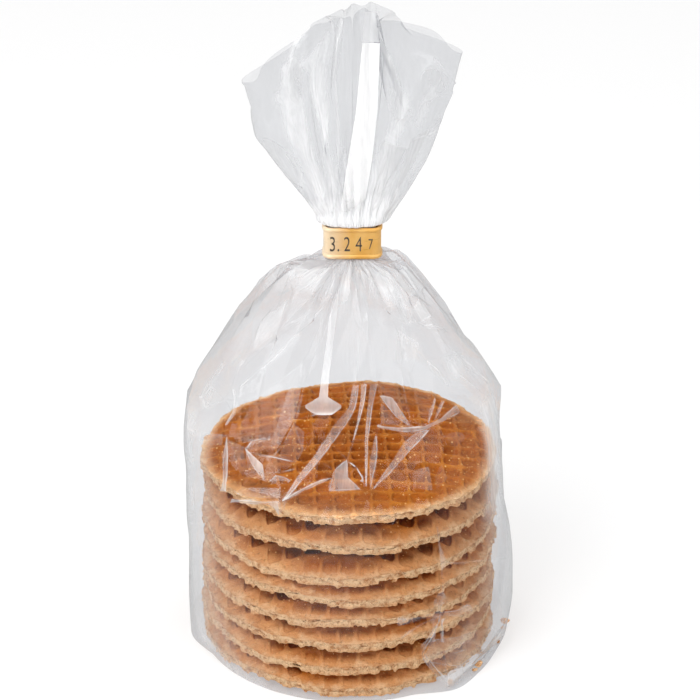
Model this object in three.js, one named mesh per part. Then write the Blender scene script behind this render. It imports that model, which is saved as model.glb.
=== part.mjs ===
// A retail pack of eight stroopwafels: a gathered clear film bag, standing on its folded bottom,
// shut by a gold clip band round its neck, with the bag's open mouth fanned out above the band.
// Millimetres, +Z up. The front of the pack faces -Y. The biscuits show through the film, so the
// bag is one solid out to its film: their rims print through it where it lies against the stack.
import * as THREE from "three";

// ---- Driving sizes ----------------------------------------------------------------------------
const WAFER_COUNT = 8;
const FIRST_RIM_HEIGHT = 3.2; // middle of the lowest biscuit's rim
const RIM_PITCH = 8.15; // from one rim to the next
const LOOSE_GAPS = [1.9, 2.8]; // extra air under the seventh and under the eighth biscuit
const RIM_THICKNESS = 3.4;
const RIM_RELIEF = 0.9; // how far the film sinks in between two rims
const STACK_TOP = 66;

const CLIP_BOTTOM = 133.4;
const CLIP_HEIGHT = 10.4;
const CLIP_TOP = CLIP_BOTTOM + CLIP_HEIGHT;
const CLIP_CENTRE_X = 0.7;
const CLIP_HALF_WIDTH = 8.6; // to the middle of the strip
const CLIP_HALF_DEPTH = 3.9;
const CLIP_CORNER = 2.6;
const CLIP_OVERLAP = 7.5; // one end of the strip lies over the other at the back
const CLIP_LAP_GAP = 0.15;
const STRIP_THICKNESS = 0.7;
const WIRE_RADIUS = 0.75; // the wires that stiffen the strip's two long edges
const NECK_GAP = 0.3; // between the film and the clip

// The gathers run from the shoulder through the clip to the mouth. Each wave that makes them
// uneven is [waves round the bag, size, start].
const PLEATS = 15;
const PLEAT_WANDER = [[3, 0.09, 0.8], [5, 0.06, 2.1]];
const PLEAT_UNEVENNESS = [4, 0.22, 1.3];
const SHOULDER_GATHER = 2.3; // how deep they are under the clip
const SHOULDER_GATHER_POWER = 1.3; // how late they deepen on the way up from the stack
const NECK_GATHER = 0.3;
const FAN_GATHER = [0.5, 3.1]; // just above the clip and at the mouth

const SEGMENTS = 84; // round the bag
const LEAST_RING_STEP = 1;
const FAN_STEPS = [0, 0.12, 0.3, 0.6, 0.8, 1]; // from the clip to the mouth, as shares of the way
const ROUNDING = 1e-9;

// The film's folded bottom rests on the table in this outline, seen from above, from the right
// side round through the back. The tip at the front right is a folded corner that stands out.
const BASE_CORNERS = [
  [51.5, -6], [49, 23], [24, 45], [-10, 48.5], [-38, 35.5], [-52, 14],
  [-52.3, -9.4], [-31.2, -37.2], [12.7, -45.4], [34.9, -41.8], [44.1, -26.5],
];

// The straight cut of the bag's mouth, seen from the front: [x, height].
const MOUTH_EDGE = [
  [-32, 189.5], [-15, 207.8], [-3, 212.6], [5.4, 215.6], [25.5, 208.2], [35, 199.8],
];
const MOUTH_LEAN = 0.45; // the mouth's front edge stands higher than its back edge by this share
const MOUTH_DIP = 5; // the gathered film sinks towards the middle of the mouth

// What the film does on each side of the pack, as [distance from the middle, height], upwards from
// just above the base: the sides, the shoulder, the slope, the puff under the clip.
const SIDES = {
  right: [
    [53.8, 5], [54.1, 24], [50.2, 46], [48.2, STACK_TOP],
    [46.6, 86], [34.6, 107], [24.5, 119.5], [16.2, 129.4], [11.8, 131.8],
  ],
  back: [
    [48.6, 5], [49, 24], [49, 46], [49.2, STACK_TOP],
    [48.5, 73], [37, 95], [26.5, 109.5], [16, 121], [8.6, 129.8],
  ],
  left: [
    [53, 5], [53.6, 24], [53.2, 46], [52.8, STACK_TOP],
    [52.3, 79], [40.6, 106], [31.5, 118.8], [22.5, 126.4], [12, 131],
  ],
  front: [
    [48.3, 5], [48.6, 24], [48.6, 46], [48.6, STACK_TOP],
    [45, 71], [32, 97], [22.5, 114], [13.5, 126.5], [8, 131],
  ],
};
const FAN = {
  right: [8.2, 15.2, 19.7, 24.8, 27.6, 31.4],
  back: [3.6, 5.5, 7.5, 9.5, 10.5, 11],
  left: [7.6, 12, 18, 27.3, 28.2, 29.5],
  front: [3.6, 5.5, 7.5, 9.5, 10.5, 11],
};
const ORDER = ["right", "back", "left", "front"]; // a quarter turn apart

const FILM = new THREE.MeshStandardMaterial({
  color: 0xe6e8ec, roughness: 0.18, metalness: 0, transparent: true, opacity: 0.6,
});
const GOLD = new THREE.MeshStandardMaterial({ color: 0xe2a93f, roughness: 0.32, metalness: 0.45 });

// ---- The bag ----------------------------------------------------------------------------------

// The two sides that an angle lies between, as places in ORDER, and the share of the quarter turn
// from the first to the second.
function quarterAt(angle) {
  const quarter = THREE.MathUtils.euclideanModulo(angle / (Math.PI / 2), 4);
  const from = Math.floor(quarter) % 4;
  return [from, (from + 1) % 4, quarter - Math.floor(quarter)];
}

// Blends four values, one for each side of the pack, smoothly round the axis.
function around(angle, values) {
  const [from, to, share] = quarterAt(angle);
  return THREE.MathUtils.lerp(values[from], values[to], (1 - Math.cos(share * Math.PI)) / 2);
}

// The distance to a flat oval, made of four quarter ellipses that meet on the sides.
function oval(angle, values) {
  const [from, to, share] = quarterAt(angle);
  const [across, along] = [values[from], values[to]];
  const turn = (share * Math.PI) / 2;
  return (across * along) / Math.hypot(along * Math.cos(turn), across * Math.sin(turn));
}

// The distance from the middle to a closed outline of corners, in the direction of angle.
function reach(corners, angle) {
  const [dx, dy] = [Math.cos(angle), Math.sin(angle)];
  for (let i = 0; i < corners.length; i++) {
    const [ax, ay] = corners[i];
    const [bx, by] = corners[(i + 1) % corners.length];
    const turn = dx * (by - ay) - dy * (bx - ax);
    const distance = (ax * (by - ay) - ay * (bx - ax)) / turn;
    const share = (ax * dy - ay * dx) / turn;
    if (distance > 0 && share >= -ROUNDING && share <= 1 + ROUNDING) return distance;
  }
  throw new Error("the outline doesn't go round the middle");
}

// The value at a place on a line of [place, value] points, and past its ends the end's own.
function valueAt(line, place) {
  const following = line.findIndex((point) => point[0] >= place);
  if (following === 0) return line[0][1];
  if (following < 0) return line.at(-1)[1];
  const [[place0, value0], [place1, value1]] = line.slice(following - 1, following + 1);
  return THREE.MathUtils.mapLinear(place, place0, place1, value0, value1);
}

function wave(angle, [count, size, start]) {
  return size * Math.sin(count * angle + start);
}

// How far a gather stands out at an angle, from -1 to 1. Some gathers are narrow and some wide,
// some deep and some shallow.
function gather(angle) {
  const wandered = angle + wave(angle, PLEAT_WANDER[0]) + wave(angle, PLEAT_WANDER[1]);
  const depth = 1 - PLEAT_UNEVENNESS[1] + wave(angle, PLEAT_UNEVENNESS);
  return depth * Math.cos(PLEATS * wandered);
}

// The middle of each biscuit's rim, from the lowest up.
function rimHeights() {
  const heights = [];
  let height = FIRST_RIM_HEIGHT;
  for (let i = 0; i < WAFER_COUNT; i++) {
    heights.push(height);
    const loose = LOOSE_GAPS[i + 1 - (WAFER_COUNT - LOOSE_GAPS.length)] ?? 0;
    height += RIM_PITCH + loose;
  }
  return heights;
}

// How deep the film sinks in beside the stack at a height: none at a rim, most between two rims.
function rimRelief(height) {
  const nearest = Math.min(...rimHeights().map((rim) => Math.abs(rim - height)));
  const off = nearest - RIM_THICKNESS / 2;
  return RIM_RELIEF * THREE.MathUtils.clamp(off / (RIM_PITCH / 2 - RIM_THICKNESS / 2), 0, 1);
}

// The film clings to the stack at the front and at the back, and stands off it on both sides.
function cling(angle) {
  return Math.sin(angle) ** 2;
}

// The heights of the rings beside the stack: each rim's two edges and the sink above it.
function stackLevels() {
  const levels = rimHeights().flatMap((rim) => [
    rim - RIM_THICKNESS / 2, rim + RIM_THICKNESS / 2, rim + RIM_PITCH / 2,
  ]);
  return [...levels.filter((level) => level < STACK_TOP - LEAST_RING_STEP), STACK_TOP];
}

// Where the film of the sides' given station is at an angle, as [distance, height]. A station
// between two whole ones is between their places.
function sideAt(angle, station) {
  const [low, high] = [Math.floor(station), Math.ceil(station)];
  return [0, 1].map((part) => THREE.MathUtils.lerp(
    around(angle, ORDER.map((side) => SIDES[side][low][part])),
    around(angle, ORDER.map((side) => SIDES[side][high][part])),
    station - low,
  ));
}

// The distance of the film beside the stack, between the base's outline and the stack's top.
function besideStack(angle, height) {
  const stations = SIDES.right.filter((place) => place[1] <= STACK_TOP).map((_, i) => i);
  const places = stations.map((station) => sideAt(angle, station).reverse());
  const profile = [[0, reach(BASE_CORNERS, angle)], ...places];
  return valueAt(profile, height) - rimRelief(height) * cling(angle);
}

function ring(pointAt) {
  return Array.from({ length: SEGMENTS }, (_, i) => pointAt((2 * Math.PI * i) / SEGMENTS));
}

function polar(angle, distance, height, centreX = 0) {
  return new THREE.Vector3(
    centreX + distance * Math.cos(angle), distance * Math.sin(angle), height);
}

// The bag's rings from the base to the mouth.
function bagRings() {
  return [
    ring((angle) => polar(angle, reach(BASE_CORNERS, angle), 0)),
    ...stackLevels().map((level) => ring((angle) => polar(angle, besideStack(angle, level), level))),
    ...shoulderRings(), ...neckRings(), ...fanRings(),
  ];
}

// Shoulder, slope and puff, with two rings from each station of the sides to the next. The gathers
// deepen towards the clip, where most film is spare.
function shoulderRings() {
  const stackStation = SIDES.right.findIndex((place) => place[1] === STACK_TOP);
  const stations = SIDES.right.length - 1 - stackStation;
  return Array.from({ length: 2 * stations }, (_, i) => {
    const share = (i + 1) / (2 * stations);
    const depth = SHOULDER_GATHER * share ** SHOULDER_GATHER_POWER;
    return ring((angle) => {
      const [distance, height] = sideAt(angle, stackStation + share * stations);
      return polar(angle, distance + depth * gather(angle), height, CLIP_CENTRE_X * share);
    });
  });
}

// Inside the clip the film is squeezed into an oval bundle.
function neckRings() {
  const spare = WIRE_RADIUS + NECK_GAP + NECK_GATHER;
  const [halfWidth, halfDepth] = [CLIP_HALF_WIDTH - spare, CLIP_HALF_DEPTH - spare];
  const sides = [halfWidth, halfDepth, halfWidth, halfDepth];
  return [CLIP_BOTTOM, (CLIP_BOTTOM + CLIP_TOP) / 2, CLIP_TOP].map((height) =>
    ring((angle) => polar(
      angle, oval(angle, sides) + NECK_GATHER * gather(angle), height, CLIP_CENTRE_X)));
}

// Above the clip the film fans out to the mouth's cut edge, in deepening gathers.
function fanRings() {
  const fanAt = (angle, step) => oval(angle, ORDER.map((side) => FAN[side].at(step)));
  return FAN_STEPS.slice(1).map((share, i) => {
    const depth = THREE.MathUtils.lerp(...FAN_GATHER, share);
    return ring((angle) => {
      const [x, y] = [Math.cos(angle), Math.sin(angle)].map((part) => part * fanAt(angle, -1));
      const top = valueAt(MOUTH_EDGE, CLIP_CENTRE_X + x) - MOUTH_LEAN * y;
      const height = THREE.MathUtils.lerp(CLIP_TOP, top, share);
      return polar(angle, fanAt(angle, i + 1) + depth * gather(angle), height, CLIP_CENTRE_X);
    });
  });
}

// Closes a stack of rings with a middle point at each end. A lathe of the same size gives the
// faces, and the rings give the places.
function closedSkin(rings, bottomPoint, topPoint) {
  const profile = [new THREE.Vector2(0, 0), ...rings.map((_, i) => new THREE.Vector2(1, i + 1)),
    new THREE.Vector2(0, rings.length + 1)];
  const skin = new THREE.LatheGeometry(profile, SEGMENTS);
  const places = skin.getAttribute("position");
  for (let i = 0; i <= SEGMENTS; i++) {
    for (let j = 0; j < profile.length; j++) {
      const onRing = rings[j - 1]?.[i % SEGMENTS];
      const point = j === 0 ? bottomPoint : (onRing ?? topPoint);
      places.setXYZ(i * profile.length + j, point.x, point.y, point.z);
    }
  }
  skin.computeVertexNormals();
  return skin;
}

function makeBag() {
  const rings = bagRings();
  const mouthMiddle = new THREE.Vector3(CLIP_CENTRE_X, 0, MOUTH_EDGE[2][1] - MOUTH_DIP);
  const bag = new THREE.Mesh(closedSkin(rings, new THREE.Vector3(0, 0, 0), mouthMiddle), FILM);
  bag.name = "bag";
  return bag;
}

// ---- The clip band ----------------------------------------------------------------------------

// The strip's cross-section: a thin web between two wires. Its x runs along the strip's width.
function stripSection() {
  const wireAt = CLIP_HEIGHT / 2 - WIRE_RADIUS;
  const half = STRIP_THICKNESS / 2;
  const meet = Math.asin(half / WIRE_RADIUS);
  const section = new THREE.Shape();
  section.absarc(wireAt, 0, WIRE_RADIUS, Math.PI + meet, 3 * Math.PI - meet, false);
  section.absarc(-wireAt, 0, WIRE_RADIUS, meet, 2 * Math.PI - meet, false);
  section.closePath();
  return section;
}

// The strip's way round the neck, seen from above: from its inner end at the back, once round a
// rounded oblong, and on over its own start.
function stripPath() {
  const [w, d, c] = [CLIP_HALF_WIDTH, CLIP_HALF_DEPTH, CLIP_CORNER];
  const over = d + 2 * WIRE_RADIUS + CLIP_LAP_GAP;
  const at = (x, y) => new THREE.Vector3(x, y, 0);
  const start = at(-CLIP_OVERLAP / 2, d);
  const stops = [ // each a straight's end, or a corner and where its bend ends
    [at(w - c, d)], [at(w, d), at(w, d - c)], [at(w, c - d)], [at(w, -d), at(w - c, -d)],
    [at(c - w, -d)], [at(-w, -d), at(-w, c - d)], [at(-w, d - c)], [at(-w, over), at(c - w, over)],
    [at(CLIP_OVERLAP / 2, over)],
  ];
  const path = new THREE.CurvePath();
  let here = start;
  for (const stop of stops) {
    const end = stop.at(-1);
    path.add(stop.length === 2
      ? new THREE.QuadraticBezierCurve3(here, stop[0], end)
      : new THREE.LineCurve3(here, end));
    here = end;
  }
  return path;
}

function makeClip() {
  const strip = new THREE.ExtrudeGeometry(stripSection(), {
    steps: 64, curveSegments: 7, extrudePath: stripPath(),
  });
  const clip = new THREE.Mesh(strip, GOLD);
  clip.name = "clip_band";
  clip.position.set(CLIP_CENTRE_X, 0, (CLIP_BOTTOM + CLIP_TOP) / 2);
  return clip;
}

// ---- The pack, with its origin under the middle of its box --------------------------------------
const pack = new THREE.Group();
pack.add(makeBag(), makeClip());
const box = new THREE.Box3().setFromObject(pack, true);
const middle = box.getCenter(new THREE.Vector3());
pack.position.set(-middle.x, -middle.y, -box.min.z);

export default pack;
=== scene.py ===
"""A clear film bag of eight stroopwafels, shut by a gold clip band: the film, the biscuits in it and
their finish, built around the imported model. Metres, +Z up, the front faces -Y."""
import math
import random

import bpy
import numpy as np
from mathutils import Matrix, Vector, noise
from mathutils.bvhtree import BVHTree
from mathutils.geometry import delaunay_2d_cdt


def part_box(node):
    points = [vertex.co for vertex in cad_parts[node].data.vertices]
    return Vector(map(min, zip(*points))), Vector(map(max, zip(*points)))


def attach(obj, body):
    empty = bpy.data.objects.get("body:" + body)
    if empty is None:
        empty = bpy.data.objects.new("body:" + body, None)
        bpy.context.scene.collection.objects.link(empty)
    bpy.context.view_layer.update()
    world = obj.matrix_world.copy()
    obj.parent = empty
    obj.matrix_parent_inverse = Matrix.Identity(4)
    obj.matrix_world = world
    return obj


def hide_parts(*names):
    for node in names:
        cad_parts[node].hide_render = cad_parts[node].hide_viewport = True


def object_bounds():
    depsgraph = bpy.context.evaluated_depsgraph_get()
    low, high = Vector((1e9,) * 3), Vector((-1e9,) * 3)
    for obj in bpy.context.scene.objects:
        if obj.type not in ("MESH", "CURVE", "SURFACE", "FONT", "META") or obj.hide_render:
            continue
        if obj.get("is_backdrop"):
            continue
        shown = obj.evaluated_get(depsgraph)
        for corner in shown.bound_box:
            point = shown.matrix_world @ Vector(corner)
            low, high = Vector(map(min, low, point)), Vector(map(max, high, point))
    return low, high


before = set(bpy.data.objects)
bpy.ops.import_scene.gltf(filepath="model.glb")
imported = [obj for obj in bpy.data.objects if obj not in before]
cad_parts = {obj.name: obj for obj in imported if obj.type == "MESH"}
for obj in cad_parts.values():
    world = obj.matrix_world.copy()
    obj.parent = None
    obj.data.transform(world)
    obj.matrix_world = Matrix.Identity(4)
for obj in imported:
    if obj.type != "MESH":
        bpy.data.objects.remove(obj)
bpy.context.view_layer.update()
MM = 0.001

# ---- The pack's axis --------------------------------------------------------------------------
# The stack of biscuits stands upright, and the clip sits over its middle, a little to the right.
# Both places follow from the clip band, whose front wires stand a known way before the axis.
clip_low, clip_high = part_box("clip_band")
CLIP_OFF_AXIS = 0.7 * MM
CLIP_FRONT = 4.65 * MM
CLIP_X = (clip_low.x + clip_high.x) / 2
STACK_X = CLIP_X - CLIP_OFF_AXIS
STACK_Y = clip_low.y + CLIP_FRONT

# ---- The camera -------------------------------------------------------------------------------
# It stands a metre before the pack and looks down on it at about 26 degrees, with a long lens.
CAMERA_DISTANCE = 0.985
CAMERA_ELEVATION = math.radians(26.4)
CAMERA_TARGET_HEIGHT = 0.1
IMAGE_SIDE = 700
FOCAL_PIXELS = 3126
SENSOR_WIDTH = 36
NEAREST, FARTHEST = 0.05, 50

camera_back = Vector((0, -math.cos(CAMERA_ELEVATION), math.sin(CAMERA_ELEVATION)))
camera_place = Vector((STACK_X, STACK_Y, CAMERA_TARGET_HEIGHT)) + camera_back * CAMERA_DISTANCE
bpy.ops.object.camera_add(
    location=camera_place, rotation=(math.pi / 2 - CAMERA_ELEVATION, 0, 0))
camera = bpy.context.object
camera.name = "camera"
camera.data.sensor_width = SENSOR_WIDTH
camera.data.lens = FOCAL_PIXELS * SENSOR_WIDTH / IMAGE_SIDE
camera.data.clip_start, camera.data.clip_end = NEAREST, FARTHEST
bpy.context.scene.camera = camera


def camera_ray(pixel):
    """The direction from the camera through a pixel of the square image."""
    right = (pixel[0] - IMAGE_SIDE / 2) / FOCAL_PIXELS
    up = (IMAGE_SIDE / 2 - pixel[1]) / FOCAL_PIXELS
    return (camera.matrix_basis.to_3x3() @ Vector((right, up, -1))).normalized()


def seen_place(surface, pixel):
    """Where a pixel's line of sight meets a surface, or else the place that it passes closest."""
    ray = camera_ray(pixel)
    place = surface.ray_cast(camera_place, ray)[0]
    if place is None:
        beside = camera_place + ray * ((STACK_Y - camera_place.y) / ray.y)
        place = surface.find_nearest(beside)[0]
    return place


# ---- The waffle halves ------------------------------------------------------------------------
# A biscuit is one thin waffle, sliced flat into two halves with syrup between them. The iron prints
# a shallow square grid on both its faces, and a ring cutter makes it round, with a crumbly rim.
CELL = 5.8 * MM
CELLS_ACROSS = 18
RIDGE_WIDTH = 0.6 * MM
PIT_SLOPE = 0.55 * MM
PIT_LEDGE = 0.3 * MM
PIT_DEPTH = 0.8 * MM
PRESSED_CREASE = 0.3  # how square the iron leaves the pits
PRESSED_LEVELS = 2
PRESSED_WARP = 0.5 * MM  # the grid isn't quite even
WARP_CLOUD = 11 * MM
BISCUIT_RADIUS = 47.0 * MM
RIM_THICKNESS = 1.9 * MM  # one half at its rim
RIM_STEPS = 10
RIM_CORNERS = 800
RAGGED_RIM = [(9 * MM, 1.8 * MM), (3.4 * MM, 1.1 * MM), (1.5 * MM, 0.7 * MM),
              (0.7 * MM, 0.5 * MM)]  # the size of its clouds, and how far they reach
CRUST_GRAIN = [(2.6 * MM, 0.55 * MM), (0.9 * MM, 0.42 * MM)]


def deselect():
    """Leaves nothing selected, so that the next operator acts on new work alone."""
    bpy.ops.object.select_all(action="DESELECT")


def apply_modifier(piece, kind, **settings):
    """Adds a modifier to a piece and applies it at once."""
    modifier = piece.modifiers.new(kind.lower(), kind)
    for name, value in settings.items():
        setattr(modifier, name, value)
    bpy.context.view_layer.objects.active = piece
    bpy.ops.object.modifier_apply(modifier=modifier.name)


def edit():
    """Opens the active piece in edit mode, selected all over."""
    bpy.ops.object.mode_set(mode="EDIT")
    bpy.ops.mesh.select_all(action="SELECT")


def close_edit():
    """Turns the faces of the piece in edit mode outwards, and leaves edit mode."""
    bpy.ops.mesh.select_all(action="SELECT")
    bpy.ops.mesh.normals_make_consistent(inside=False)
    bpy.ops.object.mode_set(mode="OBJECT")


def roughen(piece, grain, strength):
    """Displaces a piece by clouds of a grain's size."""
    clouds = bpy.data.textures.new("crumbs", "CLOUDS")
    clouds.noise_scale = grain
    clouds.noise_depth = 1
    apply_modifier(piece, "DISPLACE", texture=clouds, texture_coords="LOCAL",
                   strength=strength, mid_level=0.5)


def places(piece):
    """The piece's vertices as rows of x, y, z."""
    flat = np.empty(len(piece.data.vertices) * 3, np.float32)
    piece.data.vertices.foreach_get("co", flat)
    return flat.reshape(-1, 3).astype(float)


def move_to(piece, rows):
    piece.data.vertices.foreach_set("co", rows.astype(np.float32).ravel())
    piece.data.update()


def mark(piece, name, values):
    """Keeps a number for each vertex, for the materials."""
    attribute = piece.data.attributes.new(name, "FLOAT", "POINT")
    attribute.data.foreach_set("value", np.asarray(values, np.float32))


def share_of(values, start, end):
    """How far values have gone from a start to an end, from 0 to 1."""
    return np.clip((values - start) / (end - start), 0, 1)


def pressed_sheet(turn):
    """The waffle as it leaves the iron, a square sheet with its grid of pits."""
    deselect()
    bpy.ops.mesh.primitive_grid_add(
        x_subdivisions=CELLS_ACROSS, y_subdivisions=CELLS_ACROSS, size=CELLS_ACROSS * CELL,
        rotation=(0, 0, math.radians(turn)))
    sheet = bpy.context.object
    bpy.ops.object.transform_apply(rotation=True)
    edit()
    bpy.ops.mesh.inset(use_individual=True, thickness=RIDGE_WIDTH / 2, depth=0)
    bpy.ops.mesh.inset(use_individual=True, thickness=PIT_SLOPE, depth=-PIT_DEPTH)
    bpy.ops.mesh.inset(use_individual=True, thickness=PIT_LEDGE, depth=0)
    bpy.ops.object.mode_set(mode="OBJECT")
    creases = sheet.data.attributes.new("crease_edge", "FLOAT", "EDGE")
    creases.data.foreach_set("value", np.full(len(sheet.data.edges), PRESSED_CREASE, np.float32))
    apply_modifier(sheet, "SUBSURF", levels=PRESSED_LEVELS, render_levels=PRESSED_LEVELS)
    rows = places(sheet)
    for row in rows:
        place = Vector((row[0], row[1], turn * MM)) / WARP_CLOUD
        row[0] += PRESSED_WARP * noise.noise(place)
        row[1] += PRESSED_WARP * noise.noise(place + Vector((7, 3, 5)))
    move_to(sheet, rows)
    edit()
    bpy.ops.mesh.select_all(action="DESELECT")
    bpy.ops.mesh.select_mode(type="EDGE")
    bpy.ops.mesh.select_non_manifold(extend=False)
    bpy.ops.mesh.extrude_edges_move(TRANSFORM_OT_translate={"value": (0, 0, -2 * RIM_THICKNESS)})
    bpy.ops.mesh.edge_face_add()
    close_edit()
    return sheet


def ring_cutter(variant):
    """What the ring cutter leaves inside it: a disc with a ragged, crumbly side."""
    deselect()
    bpy.ops.mesh.primitive_circle_add(
        vertices=RIM_CORNERS, radius=BISCUIT_RADIUS, fill_type="NGON",
        location=(0, 0, -RIM_THICKNESS))
    disc = bpy.context.object
    bpy.ops.object.transform_apply(location=True)
    raised = variant * 3 * BISCUIT_RADIUS  # each variant has its own part of the clouds
    bpy.ops.transform.translate(value=(0, 0, raised))
    bpy.ops.object.transform_apply(location=True)
    edit()
    for _ in range(RIM_STEPS):
        bpy.ops.mesh.extrude_region_move(
            TRANSFORM_OT_translate={"value": (0, 0, 1.3 * RIM_THICKNESS / RIM_STEPS)})
    close_edit()
    flat = places(disc)[:, 2] - raised
    for grain, strength in RAGGED_RIM:
        roughen(disc, grain, strength)
    ragged = places(disc)
    ragged[:, 2] = flat
    move_to(disc, ragged)
    return disc


# Baked waffle: golden on the ridges, browner in the pits, paler and grainy where it is cut.
def paint(red, green, blue):
    """A colour as a maker's chart gives it, from 0 to 255, as linear light."""
    return tuple(
        (part / 255 / 12.92 if part <= 10 else ((part / 255 + 0.055) / 1.055) ** 2.4)
        for part in (red, green, blue)) + (1.0,)


class Nodes:
    """A tree of nodes in the making. Its patterns lie in the piece's own metres."""

    def __init__(self, tree):
        self.tree = tree
        self.place = self.add("TexCoord").outputs["Object"]

    def add(self, kind, inputs=None, **settings):
        """A node with its settings, its numbers and what is plugged into it."""
        node = self.tree.nodes.new("ShaderNode" + kind)
        for name, value in settings.items():
            setattr(node, name, value)
        for socket, value in (inputs or {}).items():
            if isinstance(value, bpy.types.NodeSocket):
                self.tree.links.new(value, node.inputs[socket])
            else:
                node.inputs[socket].default_value = value
        return node

    def mark(self, name):
        """A number that the piece's mesh keeps for each place."""
        return self.add("Attribute", attribute_name=name).outputs["Fac"]

    def noise(self, scale, detail=2.0, roughness=0.5, place=None):
        return self.add("TexNoise", {
            "Vector": self.place if place is None else place, "Scale": scale,
            "Detail": detail, "Roughness": roughness}).outputs["Fac"]

    def stretch(self, place, scale):
        return self.add("Mapping", {"Vector": place, "Scale": scale}).outputs["Vector"]

    def math(self, operation, *values, **settings):
        node = self.add("Math", dict(enumerate(values)), operation=operation, **settings)
        return node.outputs[0]

    def graded(self, value, start, end, first=0.0, last=1.0):
        """A value between a start and an end, as one between a first and a last."""
        return self.add("MapRange", {"Value": value, "From Min": start, "From Max": end,
                                     "To Min": first, "To Max": last}).outputs["Result"]

    def ramp(self, factor, *stops):
        """A colour or grey along a factor, between two stops of a place and a colour."""
        node = self.add("ValToRGB", {"Fac": factor})
        for element, (place, colour) in zip(node.color_ramp.elements, stops):
            element.position = place
            element.color = colour if isinstance(colour, tuple) else (colour, colour, colour, 1)
        return node.outputs["Color"]

    def mix(self, factor, first, second):
        return self.add("Mix", {0: factor, 6: first, 7: second}, data_type="RGBA").outputs[2]

    def bump(self, strength, distance, height):
        return self.add("Bump", {"Strength": strength, "Distance": distance, "Height": height}
                        ).outputs["Normal"]

    def shader(self, kind, **inputs):
        """A shader whose inputs are named with _ for each space."""
        return self.add(kind, {name.replace("_", " "): value for name, value in inputs.items()}
                        ).outputs[0]

    def layered(self, share, under, over):
        """Two shaders, with a share of the second."""
        return self.add("MixShader", {0: share, 1: under, 2: over}).outputs[0]

    def cover(self, shader):
        """Gives the surface its last shader."""
        self.add("OutputMaterial", {"Surface": shader})


def new_finish(name):
    """A material with nothing in it yet, and its nodes in the making."""
    made = bpy.data.materials.new(name)
    made.use_nodes = True
    made.node_tree.nodes.clear()
    return made, Nodes(made.node_tree)


def crumb_grain():
    """Shared by crust and crumb: the fine grain of baked dough, with pores and sugar specks."""
    group = bpy.data.node_groups.new("crumb_grain", "ShaderNodeTree")
    for name in ("Fineness", "Pores"):
        group.interface.new_socket(name, in_out="INPUT", socket_type="NodeSocketFloat")
    for name in ("Height", "Pore", "Speck"):
        group.interface.new_socket(name, in_out="OUTPUT", socket_type="NodeSocketFloat")
    taken = group.nodes.new("NodeGroupInput").outputs
    given = group.nodes.new("NodeGroupOutput").inputs
    nodes = Nodes(group)
    fine = nodes.noise(taken["Fineness"], 3.0, 0.65)
    coarse = nodes.noise(nodes.math("MULTIPLY", taken["Fineness"], 0.31))
    pore = nodes.graded(fine, 0.42, 0.30)
    group.links.new(nodes.math("MULTIPLY_ADD", fine, fine, coarse), given["Height"])
    group.links.new(nodes.math("MULTIPLY", pore, taken["Pores"]), given["Pore"])
    group.links.new(nodes.graded(fine, 0.60, 0.72), given["Speck"])
    return group


CRUMB_GRAIN = crumb_grain()
RIDGE_GOLD = paint(226, 139, 38)
PIT_BROWN = paint(188, 101, 18)
DEEP_BROWN = paint(112, 54, 8)
RIM_GOLD = paint(243, 179, 117)
CUT_CREAM = paint(255, 214, 166)
CUT_SHADE = paint(204, 140, 88)
CUT_CRUST = paint(236, 168, 108)
PORE_BROWN = paint(104, 54, 20)
SUGAR_AND_GLINT = paint(255, 206, 132)


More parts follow.
